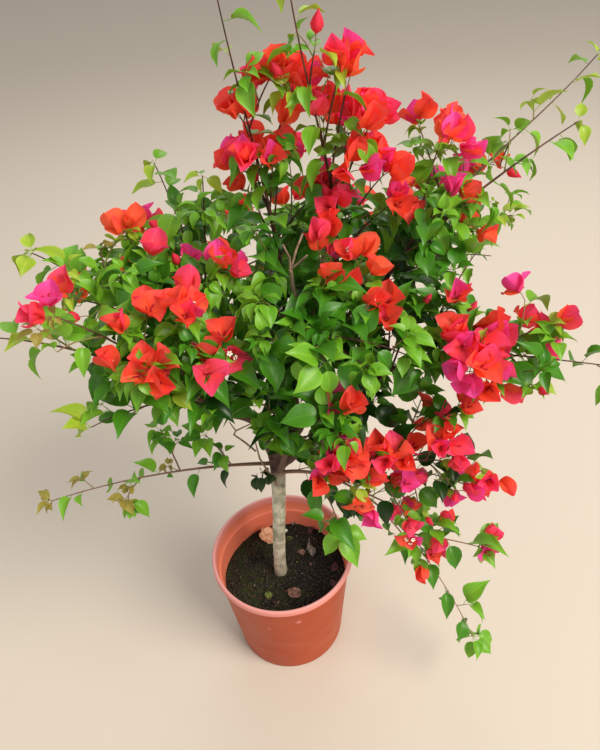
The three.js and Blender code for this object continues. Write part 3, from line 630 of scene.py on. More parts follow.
foot = Vector(TRUNK["foot"])
top = foot + Vector((TRUNK["lean"], 0, TRUNK["height"]))
third = UP * TRUNK["height"] / 3
trunk_points = [foot, foot + third, top - third, top]
limbs = {"trunk": Trunk(trunk_points, Vector((0, -1, 0)), (1, 1), TRUNK["height"])}
for name, (bearer, share, way, arch, sway, radii) in BOUGHS.items():
    limbs[name] = reach(limbs[bearer].spot(share), way, arch, sway, radii)
stems = [(limb, BARK["ring"], BARK["sides"], 0 if name == "trunk" else SWELL["share"])
         for name, limb in limbs.items()]
for share, turn, length, thick in SPURS:
    _, radial = limbs["trunk"].radial(share, turn)
    root = limbs["trunk"].spot(share)
    bend = [root, root + radial * length * 0.6, root + radial * length + UP * 3]
    stems.append((Limb(bend, UP, (thick * 1.6, thick), length), 3, 12))
vertices, faces = [], []
for stem in stems:
    ring, tube_faces = tube(*stem)
    faces += [[i + len(vertices) for i in face] for face in tube_faces]
    vertices += ring
wood = new_piece("trunk_and_boughs", vertices, faces, bark_material)
fuse = wood.modifiers.new("fuse", "REMESH")
fuse.mode = "VOXEL"
fuse.voxel_size = BARK["voxel"] * MM
fuse.use_smooth_shade = True
soften = wood.modifiers.new("soften", "SMOOTH")
soften.iterations = BARK["soften"]
apply_modifiers(wood)


def relief(at, kind):
    """How far the bark stands out at a place by one kind of its roughness, in millimetres."""
    height, sizes = RELIEF[kind]
    return height * noise.noise(Vector(c / size for c, size in zip(at, sizes)))


carved = []
for v in wood.data.vertices:
    at = v.co / MM
    raised = relief(at, "lump") - abs(relief(at, "crack")) + relief(at, "lenticel")
    carved.append(v.co + v.normal * raised * MM)
for v, spot in zip(wood.data.vertices, carved):
    v.co = spot
    v.co.z = max(v.co.z, TRUNK["foot"][2] * MM)
dress(wood, "bark", "trunk", *(f"bough_{name}" for name in BOUGHS))


# Shoots and twigs. Each mass is one main shoot that grows on from its limb, bears side shoots,
# and these bear short leafy twigs turn by turn: dull brown young wood, then green twigs.
# A mass: the limb that bears it, or how far up the trunk it leaves, its twigs' length, then its
# shoots, the main one first. A shoot: how far up the main shoot it leaves, (bearing, rise,
# length), arch, and the share of it that flowers.
MASSES = (
    ("spray_low_left", 0.94, 34, (
        (0, (-166, 8, 330), 19, 0), (0.22, (-150, 70, 85), 4, 0), (0.45, (152, 78, 80), 6, 0),
        (0.62, (-130, -24, 35), 2, 0))),
    ("spray_low_right", 0.87, 40, (
        (0, (-26, -40, 435), 120, 0), (0.62, (-20, 2, 105), 4, 0.1), (0.5, (-36, -44, 90), -4, 0.4),
        (0.36, (-26, -18, 125), 4, 1))),
    ("foliage_left_front", "left_front", 78, (
        (0, (-146, 18, 150), 14, 0), (0.12, (-152, 54, 215), 14, 0.25),
        (0.12, (-172, 34, 240), 20, 0),
        (0.35, (-42, 10, 60), 6, 0), (0.3, (-94, 48, 65), 6, 1), (0.2, (-52, 78, 130), 8, 0.4),
        (0.5, (-134, 60, 75), 6, 1), (0.3, (-144, 70, 115), 8, 0.6))),
    ("foliage_left", "left", 80, (
        (0, (-166, 52, 275), 18, 0), (0.3, (-146, 44, 145), 10, 0.5),
        (0.42, (102, 68, 100), 8, 0.2),
        (0.25, (24, 76, 100), 8, 0.3), (0.3, (-14, 50, 125), 10, 0.1), (0.62, (100, 62, 55), 5, 0),
        (0.12, (-64, 36, 145), 6, 0.2), (0.45, (-4, 72, 75), 5, 0.2), (0.05, (-26, 58, 125), 8, 0),
        (0.08, (-42, 6, 65), 8, 0))),
    ("foliage_back_left", "back_left", 84, (
        (0, (180, 78, 255), 14, 0), (0.5, (-112, 42, 70), 8, 0), (0.25, (-66, 68, 205), -6, 0),
        (0.1, (146, 12, 145), 14, 0.4), (0.08, (94, 0, 160), 12, 0.3),
        (0.2, (180, 12, 165), 14, 0.3),
        (0.35, (118, 14, 105), 8, 0.3))),
    ("foliage_centre", "centre", 70, (
        (0, (-124, 80, 360), -14, 0), (0.1, (-100, 12, 70), 6, 0), (0.1, (-130, 12, 90), 10, 0),
        (0.22, (-156, 78, 95), 6, 1), (0.36, (-144, 78, 95), 6, 1), (0.42, (-24, 66, 110), 6, 1),
        (0.22, (10, 80, 90), 4, 1), (0.18, (12, 44, 80), 2, 1), (0.12, (146, 42, 50), 6, 0),
        (0.62, (-26, 60, 62), 3, 0), (0.3, (-176, 66, 62), 4, 1), (0.12, (-150, 72, 95), 4, 0.5),
        (0.3, (-60, 74, 70), 3, 1))),
    ("foliage_leader", "leader", 64, (
        (0, (-114, 76, 420), -24, 0), (0.52, (-46, 72, 90), 6, 0.4), (0.4, (-60, 72, 115), 8, 1),
        (0.28, (-18, 68, 115), 8, 1), (0.14, (-26, 60, 120), 10, 1), (0.3, (-110, 68, 120), 2, 1),
        (0.16, (-100, 60, 75), 4, 1), (0.7, (-52, 74, 38), 3, 0), (0.62, (-156, 50, 45), 4, 0),
        (0.1, (4, 44, 100), 8, 0))),
    ("foliage_right_high", "right_high", 62, (
        (0, (24, 36, 375), -6, 0), (0.1, (4, 36, 250), 8, 0), (0.18, (40, 72, 105), 10, 0.6),
        (0.32, (112, 52, 100), 4, 0.6), (0.12, (-4, 52, 80), 8, 0.4), (0.2, (12, -8, 62), 8, 0.3),
        (0.15, (24, -2, 165), 8, 0), (0.5, (108, 48, 35), 2, 1), (0.62, (106, -68, 40), 2, 1))),
    ("foliage_back_right", "back_right", 84, (
        (0, (32, 18, 210), 12, 0.3), (0.1, (76, 2, 185), 12, 0.4), (0.25, (38, 42, 140), 8, 0.4),
        (0.3, (-4, 4, 155), 10, 0.3), (0.15, (102, 38, 125), 8, 0.4),
        (0.35, (62, -24, 120), 12, 0.3))),
    ("foliage_right", "right", 66, (
        (0, (-16, 12, 300), 16, 0), (0.28, (-4, 46, 65), 10, 1), (0.42, (8, 16, 65), 10, 1),
        (0.55, (2, 28, 70), 8, 1), (0.45, (-72, -12, 50), 6, 1), (0.6, (-70, -18, 45), 4, 0),
        (0.12, (-22, 72, 100), 10, 0.5), (0.1, (-98, 74, 115), 8, 0.4),
        (0.25, (36, 50, 150), 10, 0),
        (0.2, (-8, 60, 100), 8, 0.4), (0.16, (-56, 46, 95), 8, 0.5), (0.3, (-56, 34, 85), 8, 1))),
    ("foliage_right_low", "right_low", 60, (
        (0, (-8, -8, 170), 14, 1), (0.45, (22, -76, 120), 14, 1), (0.55, (-2, -54, 60), 12, 1),
        (0.3, (-58, 50, 35), 8, 1), (0.12, (-32, -56, 105), 10, 1), (0.45, (-14, 16, 50), 8, 1),
        (0.6, (6, 68, 85), 6, 0.2), (0.15, (-92, 40, 50), 6, 1), (0.35, (16, 48, 70), 8, 0.4))),
    ("foliage_front", "front", 60, (
        (0, (-61, -34, 136), 28, 0), (0.12, (-44, 42, 120), 6, 0.2), (0.2, (-64, 18, 55), 4, 0.6),
        (0.35, (-64, -28, 45), 4, 1), (0.45, (-34, -18, 75), 6, 1), (0.05, (-138, 62, 100), 6, 0),
        (0.3, (-52, 34, 105), 6, 0))),
    ("foliage_front_top", "front_top", 66, (
        (0, (-80, 28, 125), 14, 0), (0.2, (-50, 2, 105), 8, 0), (0.1, (-104, 46, 65), 8, 0),
        (0.1, (10, 70, 75), 8, 1), (0.08, (10, 42, 105), 8, 0.4), (0.15, (-20, 34, 80), 8, 0.6),
        (0.05, (58, 56, 120), 6, 0.7), (0.3, (-134, 30, 80), 6, 0), (0.5, (-20, -4, 105), 8, 0),
        (0.3, (162, 32, 75), 6, 0))),
    ("foliage_back", "back", 86, (
        (0, (88, 16, 185), 14, 0.3), (0.1, (126, 42, 155), 8, 0.3), (0.15, (64, 32, 165), 8, 0.4),
        (0.12, (88, 72, 145), 6, 0.3), (0.3, (110, -14, 130), 10, 0.3),
        (0.35, (62, -6, 115), 10, 0),
        (0.4, (96, 48, 100), 6, 0))),
)
# Buds stand every 15 mm along a shoot, and the next one has turned 124.4 degrees round it. Of each
# eight, the first grows to a twig, the fifth to half a twig, the third and seventh to short ones,
# and the rest to leaves. A side shoot is thicker the longer it is, and one on the trunk more so.
SHOOT = {"first": 30, "step": 15, "last": 12, "turn": 124.375, "radii": (0.9, 0.7),
         "thicken": 0.0055, "on_trunk": 3.4, "open": 0.95}
# Spread is a twig's angle from its shoot, lift, arch and sweep are how it bends, wane is how much
# shorter the last ones are, and half and short what the weaker ones reach. One under 60 mm is
# thinner. Its leaves stop 4 mm before its tip, and are younger towards it. What varies by chance
# is given, here and below, as its least and how much more it may be.
TWIG = {"spread": 52, "lift": 0.35, "arch": 0.08, "sweep": 0.08, "radii": (1.15, 0.6), "least": 20,
        "wane": 0.6, "half": 0.62, "short": 0.42, "vary": (0.75, 0.5), "thin": (0.55, 0.45),
        "full_at": 60, "piece": 14, "first": 10, "step": 9.5, "end": 4, "turn": 137.5,
        "gap": (0.8, 0.4), "leaf": (0.68, 0.45), "younger": 0.12}
# Leaves hang on the young top, tilt towards the light and roll by chance. A whorl ends a twig.
LEAF = {"length": 42, "reach": 1.25, "spread": 60, "lift": 0.08, "hang": 0.5, "tilt": 0.3,
        "roll": 26, "forms": 6, "width": (0.85, 0.3), "tone_varies": 0.16, "on_shoot": (0.8, 0.35)}
WHORL = {"leaves": (5, 3), "fewer_on_top": 0.4, "size": 0.62, "length": (0.7, 0.5), "turn": 137.5,
         "spread": (42, 40), "younger": 0.14}
BLOSSOM = {"triads": 3, "bud_share": 0.14, "stalk": (9, 9), "radii": (0.6, 0.5, 0.55), "clear": 12}
END_BUD = {"share": 0.6, "stalk": 16, "radii": (0.6, 0.55)}  # at the end of a young shoot
BOUGH_TWIGS = {"from": 0.45, "step": 15, "end": 6, "span": 40, "vary": (0.6, 0.8), "tone": 0.22}
SPRAY_LEAVES = {"spray_low_left": 0.82, "spray_low_right": 1.05}  # their leaves' size
# Where the crown is closed, and from where to where it opens: outwards from its heart, and up
HEART = {"at": (60, 0, 690), "inner": 160, "outer": 430}
OPEN_TOP, OPEN_EDGE, LEAFY_EDGE = (760, 900), (0.2, 0.86), 0.72
YOUNG_FROM = 0.3  # the share of the way there from which a shoot counts as young
# A leaf's tone is younger outwards and upwards and picks the kind of leaf; its low tone deep inside
# is partly painted shade, and its rise to the left and fall to the low right are painted light and
# shade
TONE = {"least": 0.02, "outer": 0.4, "high": 0.34, "left": 0.12, "up": (540, 840),
        "across": (40, -220)}
TONES = (("deep", 0.22), ("mid", 0.5), ("fresh", 0.82), ("lime", 9))
BRONZE = {"from_x": -140, "from_out": 0.4, "share": 0.5, "size": 0.75}
CLEAR = {"pot": 8, "limb": 4, "trunk": 26, "trunk_at": (8, -3), "trunk_top": 462}
# The larger openings of the crown, as the photo shows them: (across, down, radius) in its pixels
OPENINGS = (
    (245, 456, 17), (277, 480, 21), (300, 480, 15), (282, 22, 14), (347, 12, 15), (370, 24, 18),
    (388, 98, 11), (221, 112, 10), (200, 68, 12), (160, 205, 13), (125, 212, 9), (206, 154, 10),
    (45, 374, 19), (72, 388, 12), (126, 442, 17), (104, 430, 12), (140, 427, 8), (200, 437, 9),
    (95, 452, 14), (512, 465, 17), (500, 506, 11), (510, 241, 15), (497, 257, 15), (500, 184, 13),
    (528, 275, 14), (480, 274, 11), (497, 440, 11), (432, 487, 7), (395, 472, 7), (446, 437, 7),
    (385, 497, 7), (577, 388, 12), (405, 562, 9), (480, 118, 9), (306, 408, 10), (342, 371, 10),
    (391, 348, 10), (380, 418, 10), (453, 398, 8), (228, 430, 12), (158, 424, 9), (308, 426, 7),
    (240, 403, 6), (235, 376, 9), (243, 253, 9), (262, 214, 9), (300, 60, 9), (322, 72, 8),
    (402, 108, 8))
# A hollow before the crown, in the photo's pixels, and down to so many metres from the camera
HOLLOW = {"at": (287, 262), "radius": 19, "to": 0.735}

to_camera = camera.matrix_world.inverted()
limb_spots = [
    (limb.spot(i / 60), limb.radius(i / 60)) for limb in limbs.values() for i in range(61)]
wood_tree = KDTree(len(limb_spots))
for i, (spot, radius) in enumerate(limb_spots):
    wood_tree.insert(spot, i)
wood_tree.balance()
wood_runs, green_runs, blossoms, buds = [], [], [], []
leaves = {kind: [] for kind in ("deep", "mid", "fresh", "lime", "bronze")}


def is_clear(spot, gap=CLEAR["limb"]):
    """Whether a place is clear of the limbs and the pot, and outside the crown's openings."""
    over_pot = math.hypot(spot.x, spot.y) < POT["rim"] + CLEAR["pot"]
    if over_pot and spot.z < POT["height"] + CLEAR["pot"]:
        return False
    if spot.z < CLEAR["trunk_top"] and math.dist(spot.xy, CLEAR["trunk_at"]) < CLEAR["trunk"]:
        return False
    seen = to_camera @ (spot * MM)
    across = PICTURE_PX[0] / 2 - FOCAL_PX * seen.x / seen.z
    down = PICTURE_PX[1] / 2 + FOCAL_PX * seen.y / seen.z
    if any(math.hypot(across - x, down - y) < radius for x, y, radius in OPENINGS):
        return False
    if math.dist((across, down), HOLLOW["at"]) < HOLLOW["radius"] and -seen.z < HOLLOW["to"]:
        return False
    _, i, distance = wood_tree.find(spot)
    return distance > limb_spots[i][1] + gap


def varied(limits, *keys):
    """A value by chance, from its least up to so much more."""
    least, more = limits
    return least + more * chance(*keys)


def share_of(value, start, end, least=0):
    """How far a value has come on its way from start to end, from least to 1."""
    return min(1, max(least, (value - start) / (end - start)))


def outwardness(spot):
    """0 in the heart of the crown, 1 on its furthest tips."""
    return share_of((spot - Vector(HEART["at"])).length, HEART["inner"], HEART["outer"])


def height_share(spot):
    """0 in the body of the crown, 1 on the young shoots at its top."""
    return share_of(spot.z, *OPEN_TOP)


def airiness(spot):
    """0 where the crown is close, 1 on the open young shoots at its top and round its edge."""
    return max(height_share(spot), share_of(outwardness(spot), *OPEN_EDGE))


def leaf_tone(spot):
    """How young and how lit leaves are here: about 0 deep inside, partly as painted shade, towards
    1 on the outer left and on top, with the left painted lighter and the low right darker.
    """
    high = share_of(spot.z, *TONE["up"])
    # Painted light and shade: leaves are lighter to the left and darker low on the right.
    lit_from_left = share_of(spot.x, *TONE["across"], least=-1) * (1 - 0.5 * high)
    young = TONE["outer"] * outwardness(spot) + TONE["high"] * high + TONE["left"] * lit_from_left
    return TONE["least"] + young


def turned(out, upper):
    """The turning that lays a form's length along out and its upper side towards upper."""
    return Matrix((out.cross(upper), out, upper)).transposed()


def leaving(along, radial, spread, lift):
    """The way off a limb, at an angle from its length and a little lifted."""
    angle = math.radians(spread)
    return (along * math.cos(angle) + radial * math.sin(angle) + UP * lift).normalized()


def run_of(limb, pieces):
    """The limb's places and radii at the ends of so many pieces of it."""
    return [(limb.spot(i / pieces), limb.radius(i / pieces)) for i in range(pieces + 1)]


def stem_from(start, set_off, way, arch, girth):
    """A mass's main shoot, which sets off along its limb and then bends to its own way."""
    bearing, rise, length = way
    tip = start + heading(bearing, rise) * length
    points = [start, start + set_off * length / 3, start.lerp(tip, 2 / 3) + UP * 4 * arch / 3, tip]
    return Shoot(points, (tip - start).cross(UP).normalized(), (girth, SHOOT["radii"][1]), length)


def add_leaf(root, out, face, length, tone, keys, kind=None):
    """One leaf at root, growing out, its upper side towards face."""
    tip = root + out * length * LEAF["reach"]
    if not (is_clear(tip, 1) and is_clear(root.lerp(tip, 0.6), 1)):
        return
    roll = math.radians(LEAF["roll"]) * (2 * chance(*keys, 1) - 1)
    upper = (face - out * face.dot(out)).normalized()
    upper = upper * math.cos(roll) + out.cross(upper) * math.sin(roll)
    wide = varied(LEAF["width"], *keys, 2)
    tone += LEAF["tone_varies"] * (chance(*keys, 3) - 0.5)
    kind = kind or next(name for name, limit in TONES if tone < limit)
    size = Vector((length * wide, length, length))
    leaves[kind].append((root, turned(out, upper), size, int(LEAF["forms"] * chance(*keys, 4))))


def leaf_from(limb, share, spin, length, tone, keys, spread=LEAF["spread"], kind=None):
    """One leaf out of the limb's side."""
    along, radial = limb.radial(share, spin)
    root = limb.spot(share) + radial * limb.radius(share) * 0.6
    out = leaving(along, radial, spread, LEAF["lift"] - LEAF["hang"] * height_share(root))
    add_leaf(root, out, UP - radial * LEAF["tilt"], length, tone, keys, kind)


def crown_tip(limb, tone, keys, size=1.0):
    """The rosette of small new leaves that ends a twig or shoot."""
    least, more = WHORL["leaves"]
    end = limb.spot(1)
    thinned = 1 - WHORL["fewer_on_top"] * height_share(end)
    count = round((least + int(more * chance(*keys, 5))) * thinned)
    outer_left = end.x < BRONZE["from_x"] and outwardness(end) > BRONZE["from_out"]
    bronze = outer_left and chance(*keys, 15) < BRONZE["share"]
    kind, size = ("bronze", size * BRONZE["size"]) if bronze else (None, size)
    for k in range(count):
        length = LEAF["length"] * WHORL["size"] * size * varied(WHORL["length"], *keys, k, 6)
        spin = WHORL["turn"] * k + 360 * chance(*keys, 7)
        spread = varied(WHORL["spread"], *keys, k, 9)
        leaf_from(limb, 1, spin, length, tone + WHORL["younger"], (*keys, k, 8), spread, kind)


def grow_twig(bearer, share, spin, span, flowers, tone, keys, size=1.0, rich=0):
    """A green twig on a shoot: leaves turn by turn, and a rosette or blossom at its end."""
    along, radial = bearer.radial(share, spin)
    out = leaving(along, radial, TWIG["spread"], TWIG["lift"])
    root = bearer.spot(share)
    tip = root + out * span + UP * TWIG["arch"] * span * (1 - 2 * chance(*keys, 10))
    middle = (root + tip) / 2 + UP * TWIG["arch"] * span + along * span * TWIG["sweep"]
    if not (is_clear(tip) and is_clear(middle)):
        return
    least, more = TWIG["thin"]
    girth = least + more * min(1, span / TWIG["full_at"])
    radii = [radius * girth for radius in TWIG["radii"]]
    twig = Limb([root, middle, tip], along.cross(out).normalized(), radii, span)
    green_runs.append(run_of(twig, max(2, round(span / TWIG["piece"]))))
    full = LEAF["length"] * size * (1.05 - 0.25 * height_share(root))
    apart = TWIG["step"] * (1 + 2 * airiness(root) + 1.6 * rich)
    distance, k = TWIG["first"], 0
    while distance < span - TWIG["end"]:
        length = full * varied(TWIG["leaf"], *keys, k, 11)
        leaf_from(twig, distance / span, TWIG["turn"] * k + 360 * chance(*keys, 12), length,
                  tone + TWIG["younger"] * distance / span, (*keys, k, 13))
        distance += apart * varied(TWIG["gap"], *keys, k, 14)
        k += 1
    if flowers:
        add_blossom(twig, keys, rich + (height_share(root) > YOUNG_FROM))
    else:
        crown_tip(twig, tone, keys, size * (1 - 0.2 * height_share(tip)))


def add_blossom(limb, keys, more=0):
    """One to a few triads of bracts on thin stalks, or now and then a bud."""
    along = limb.along(1)
    count = 1 + int((BLOSSOM["triads"] + more - 0.4) * chance(*keys, 20))
    for k in range(count):
        _, radial = limb.radial(1, 360 * k / count + 360 * chance(*keys, 21))
        axis = (along * 0.7 + radial * (0.2 + 0.5 * (count > 1)) + UP * 0.5).normalized()
        start = limb.spot(1)
        end = start + axis * varied(BLOSSOM["stalk"], *keys, k, 22)
        if not is_clear(end + axis * BLOSSOM["clear"]):
            continue
        spots = (start, start.lerp(end, 0.5) + UP, end)
        green_runs.append(list(zip(spots, BLOSSOM["radii"])))
        grown = buds if chance(*keys, k, 23) < BLOSSOM["bud_share"] else blossoms
        grown.append((end, axis, (*keys, k)))


def grow_shoot(own, s, shoot, twig_span, flowering, open_share=0.0, size=1.0):
    """All the twigs and leaves of one shoot; an open one bears fewer of them."""
    wood_runs.append(run_of(shoot, max(4, round(shoot.length / 12))))
    count = int((shoot.length - SHOOT["last"] - SHOOT["first"]) / SHOOT["step"]) + 1
    rich = int(flowering >= 1)
    for m in range(max(0, count)):
        share = (SHOOT["first"] + SHOOT["step"] * m) / shoot.length
        keys = (own, s, m)
        spin = SHOOT["turn"] * m + 360 * chance(own, s)
        spot = shoot.spot(share)
        leafy_edge = open_share == 0 and outwardness(spot) >= LEAFY_EDGE
        flowers = flowering > 0 and share > 1 - flowering and not leafy_edge
        tone = leaf_tone(spot) + 0.12 * share + 0.26 * (chance(*keys, 30) - 0.4)
        full = twig_span * (1.1 - TWIG["wane"] * share)
        airy = max(airiness(spot), open_share * (1 - share))
        if m % 2 and max(0.4 * airy, 0.6 * rich) > chance(*keys, 33):
            continue
        if m % 8 == 0:
            length = full * varied(TWIG["vary"], own, s, m // 4) * (1 - 0.15 * airy)
            span = max(length, TWIG["least"])
            grow_twig(shoot, share, spin, span, flowers, tone, keys, size, rich)
        elif m % 8 == 4 and (flowers or airy < 0.3 + 0.6 * chance(*keys, 34)):
            span = max(TWIG["half"] * full, TWIG["least"])
            grow_twig(shoot, share, spin, span, flowers, tone, keys, size, rich)
        elif m % 2 == 0 and airy < 0.6 * chance(*keys, 35):
            span = max(TWIG["short"] * full, 0.8 * TWIG["least"])
            grow_twig(shoot, share, spin, span, flowers and rich, tone, keys, size)
        else:
            length = LEAF["length"] * size * (1 - 0.2 * height_share(spot))
            leaf_from(shoot, share, spin, length * varied(LEAF["on_shoot"], *keys, 31), tone, keys)
    end = shoot.spot(1)
    bare_top = rich and height_share(end) > YOUNG_FROM
    ends_in_bud = s > 0 and open_share == 0 and chance(own, s, 36) < END_BUD["share"]
    if flowering > 0 and (open_share > 0 or outwardness(end) < LEAFY_EDGE):
        add_blossom(shoot, (own, s, 900), 2 * bare_top)
    elif airiness(end) > YOUNG_FROM and ends_in_bud:
        axis = (shoot.along(1) + UP * 0.8).normalized()
        foot = end + axis * END_BUD["stalk"]
        green_runs.append(list(zip((end, foot), END_BUD["radii"])))
        buds.append((foot, axis, (own, s, 902)))
    if not bare_top:
        tone = (0.2 if open_share else 0.45) + 0.3 * outwardness(end) + 0.15 * chance(own, s, 32)
        full = 0.9 if s and not open_share else 1.4 - 0.5 * height_share(end)
        crown_tip(shoot, tone, (own, s, 901), full * size)


def clothe_bough(number, limb):
    """Short leafy twigs on the outer stretch of a bough, which hide it from above."""
    distance, k = BOUGH_TWIGS["from"] * limb.length, 0
    while distance < limb.length - BOUGH_TWIGS["end"]:
        span = BOUGH_TWIGS["span"] * varied(BOUGH_TWIGS["vary"], number, k, 60)
        # A low tone gives these inner leaves the dark deep skin: painted shade inside the crown.
        tone = BOUGH_TWIGS["tone"] * chance(number, k, 61)
        share = distance / limb.length
        grow_twig(limb, share, SHOOT["turn"] * k, span, False, tone, (number, k, 62))
        distance += BOUGH_TWIGS["step"]
        k += 1


for number, name in enumerate(BOUGHS):
    clothe_bough(100 + number, limbs[name])
for own, (name, bearer, twig_span, shoots) in enumerate(MASSES):
    on_trunk = isinstance(bearer, float)
    for s, (share, way, arch, flowering) in enumerate(shoots):
        if s > 0:
            girths = (SHOOT["radii"][0] + SHOOT["thicken"] * way[2], SHOOT["radii"][1])
            shoot = reach(main_shoot.spot(share), way, arch, 0, girths)
        elif on_trunk:
            set_off = (heading(way[0], way[1]) + UP * 4 * arch / way[2]).normalized()
            root = limbs["trunk"].spot(bearer)
            shoot = main_shoot = stem_from(root, set_off, way, arch, SHOOT["on_trunk"])
        else:
            limb = limbs[bearer]
            shoot = main_shoot = stem_from(limb.spot(1), limb.along(1), way, arch, limb.radius(1))
        open_share = SHOOT["open"] * on_trunk
        grow_shoot(own, s, shoot, twig_span, flowering, open_share, SPRAY_LEAVES.get(name, 1))

# Light young rosettes that stand out before the dark of the crown: foot, tip and leaf size
ROSETTES = (
    ((36, -99, 606), (19, -121, 622), 1.3), ((32, -88, 590), (2, -112, 626), 1.1),
    ((36, -99, 606), (36, -126, 616), 1.05))
for k, (start, end, size) in enumerate(ROSETTES):
    start, end = Vector(start), Vector(end)
    way = (end - start).normalized()
    bend = [start, (start + end) / 2 + UP * 3, end]
    sprig = Limb(bend, way.cross(UP).normalized(), (1, 0.7), (end - start).length)
    green_runs.append(run_of(sprig, 3))
    crown_tip(sprig, 0.45, (200, k), size)
# Old leaves that hang in a tuft where the low left spray leaves the trunk
TUFT = {"at": (-6, -25, 462), "leaves": 7, "length": 27, "bearing": 200, "drop": -62}
for k in range(TUFT["leaves"]):
    root = Vector(TUFT["at"]) + Vector((3 - 3 * k, -1, -2))
    bearing = TUFT["bearing"] + TWIG["turn"] * k if k % 3 else -100
    out = heading(bearing, TUFT["drop"] + 9 * (k % 5))
    light = UP + heading(-90, 0)
    upper = (light - out * out.dot(light)).normalized()
    size = Vector((1, 1, 1)) * TUFT["length"] * (0.8 + 0.08 * (k % 4))
    leaves["deep"].append((root, turned(out, upper), size, k % LEAF["forms"]))
# Dead wood: a thin pale twig with leafless side shoots before the trunk's fork, and a bough's
# pruned end, forked and pale, in a hollow of the crown. Each is its places and its two radii.
SNAGS = (
    (((8, -13, 413), (-3, -22, 456), (-12, -30, 496), (-14, -36, 536)), (2.0, 1.1)),
    (((-16, -34, 516), (-28, -40, 541), (-41, -46, 564), (-37, -47, 572), (-8, -50, 589)),
     (1.6, 0.9)),
    (((-37, -47, 572), (-40, -49, 582), (-43, -51, 593)), (1.0, 0.7)),
    (((-4, -23, 460), (-9, -25, 462), (-15, -28, 462)), (0.9, 0.7)),
    (((62, -20, 740), (58, -34, 785), (57, -40, 813)), (2.8, 2.3)),
    (((57, -40, 813), (66, -37, 838), (74, -34, 854)), (1.7, 1.1)),
    (((57, -40, 813), (68, -45, 825), (77, -48, 834)), (1.5, 1.0)),
    (((57, -40, 813), (57, -42, 830), (51, -45, 848)), (1.5, 1.0)),
)
snag_runs = []
for spots, (thick, thin) in SNAGS:
    radii = np.linspace(thick, thin, len(spots))
    snag_runs.append([(Vector(spot), float(radius)) for spot, radius in zip(spots, radii)])

# A round skin over a net of edges, as thick as each point's girth.
skin_tree, given = start_tree("skin_over_edges", Sides="Int")
girth = add_node(skin_tree, "GeometryNodeInputNamedAttribute", {0: "girth"}, data_type="FLOAT")
curves = add_node(skin_tree, "GeometryNodeMeshToCurve", {0: given.outputs["Geometry"]})
ring = add_node(skin_tree, "GeometryNodeCurvePrimitiveCircle", {
    "Resolution": given.outputs["Sides"], "Radius": 1.0})
skin = add_node(skin_tree, "GeometryNodeCurveToMesh", {
    "Curve": curves.outputs[0], "Profile Curve": ring.outputs[0], "Scale": girth.outputs[0],
    "Fill Caps": True})
end_tree(skin_tree, given, skin.outputs[0])


def skin_runs(name, runs, sides, material):
    """One mesh of round stems along runs of places and radii."""
    spots, edges, girths = [], [], []
    for run in runs:
        edges += [(len(spots) + i, len(spots) + i + 1) for i in range(len(run) - 1)]
        spots += [spot for spot, _ in run]
        girths += [radius * MM for _, radius in run]
    values = [("girth", "FLOAT", "value", girths)]
    return grow(name, skin_tree, spots, edges, values, material, Sides=sides)


# Young bark: purple brown and smooth, streaked lighter every 8 mm, and tan on the low sprays.
young_wood = flecked("young_brown_wood", ("#3C2020", "#67402F"), 130.0, 3.0, (0.38, 0.64), 0.6,
                     [(460 * MM, 530 * MM, 0.7, 0, "#9C7862")])
# Dead wood without its bark: dry, dull and pale grey brown, streaked every 8 mm.
dead_wood = flecked("dead_twig_wood", ("#75604E", "#A48C74"), 130.0, 3.0, (0.38, 0.64), 0.8)
# The skin of this year's twigs: soft green with a slight sheen, browning in patches 17 mm long.
green_wood = flecked("green_twig_skin", ("#6E7F35", "#7C5A3C"), 60.0, 2.0, (0.38, 0.64), 0.55)
mass_names = [name for name, _, _, _ in MASSES]
dress(skin_runs("shoots", wood_runs, 8, young_wood), "young_bark", *mass_names)
dress(skin_runs("twigs", green_runs, 5, green_wood), "young_bark")
dress(skin_runs("dead_twigs", snag_runs, 8, dead_wood), "young_bark")


# Leaves. Thin ovate blades with a drawn-out drooping tip, folded a little along the midrib, on
# short stalks: dark in the heart of the crown, partly as painted shade, yellow green and smaller
# on its growing tips.
# An outline is how far along the blade and how wide on each side; sizes are shares of its length.
LEAF_OUTLINE = (
    (0, 0.06), (0.05, 0.19), (0.16, 0.3), (0.32, 0.35), (0.5, 0.325), (0.67, 0.235), (0.81, 0.115),
    (0.92, 0.035))
STALK = {"length": 0.26, "radius": 0.012, "sides": 3}
LEAF_FORMS = (  # fold in degrees, droop of the tip, wave of the edge, twist in degrees
    (22, 0.4, 0.02, 6), (34, 0.55, 0.03, -12), (16, 0.28, 0.05, 14), (42, 0.66, 0.02, -6),
    (28, 0.48, 0.05, 18), (20, 0.6, 0.04, -18))


def blade(outline, fold, droop, wave, twist, cup=0.0, start=0.0):
    """A pointed blade one unit long along +Y, its upper side +Z; UV is across and along."""
    vertices, faces, uvs = [], [], []
    columns = (-1, -0.5, 0, 0.5, 1)
    fold, twist = math.radians(fold), math.radians(twist)
    for share, half in outline:
        for t in columns:
            across = half * t * math.cos(fold)
            lift = abs(half * t) * math.sin(fold) + wave * abs(t) * math.sin(7 * share + 2.5 * t)
            lift += cup * half * t * t
            turn = twist * share
            x = across * math.cos(turn) - lift * math.sin(turn)
            z = across * math.sin(turn) + lift * math.cos(turn)
            y = start + share * (1 - 0.35 * droop * share)
            vertices.append((x, y, z - droop * share * share))
            uvs.append((0.5 + 0.5 * t, share))
    vertices.append((0, start + 1 - 0.35 * droop, -droop))
    uvs.append((0.5, 1))
    wide, last = len(columns), len(vertices) - 1
    for row in range(len(outline) - 1):
        for a in range(row * wide, row * wide + wide - 1):
            faces.append((a, a + 1, a + wide + 1, a + wide))
    faces += [(a, a + 1, last) for a in range(last - wide, last - 1)]
    return vertices, faces, uvs


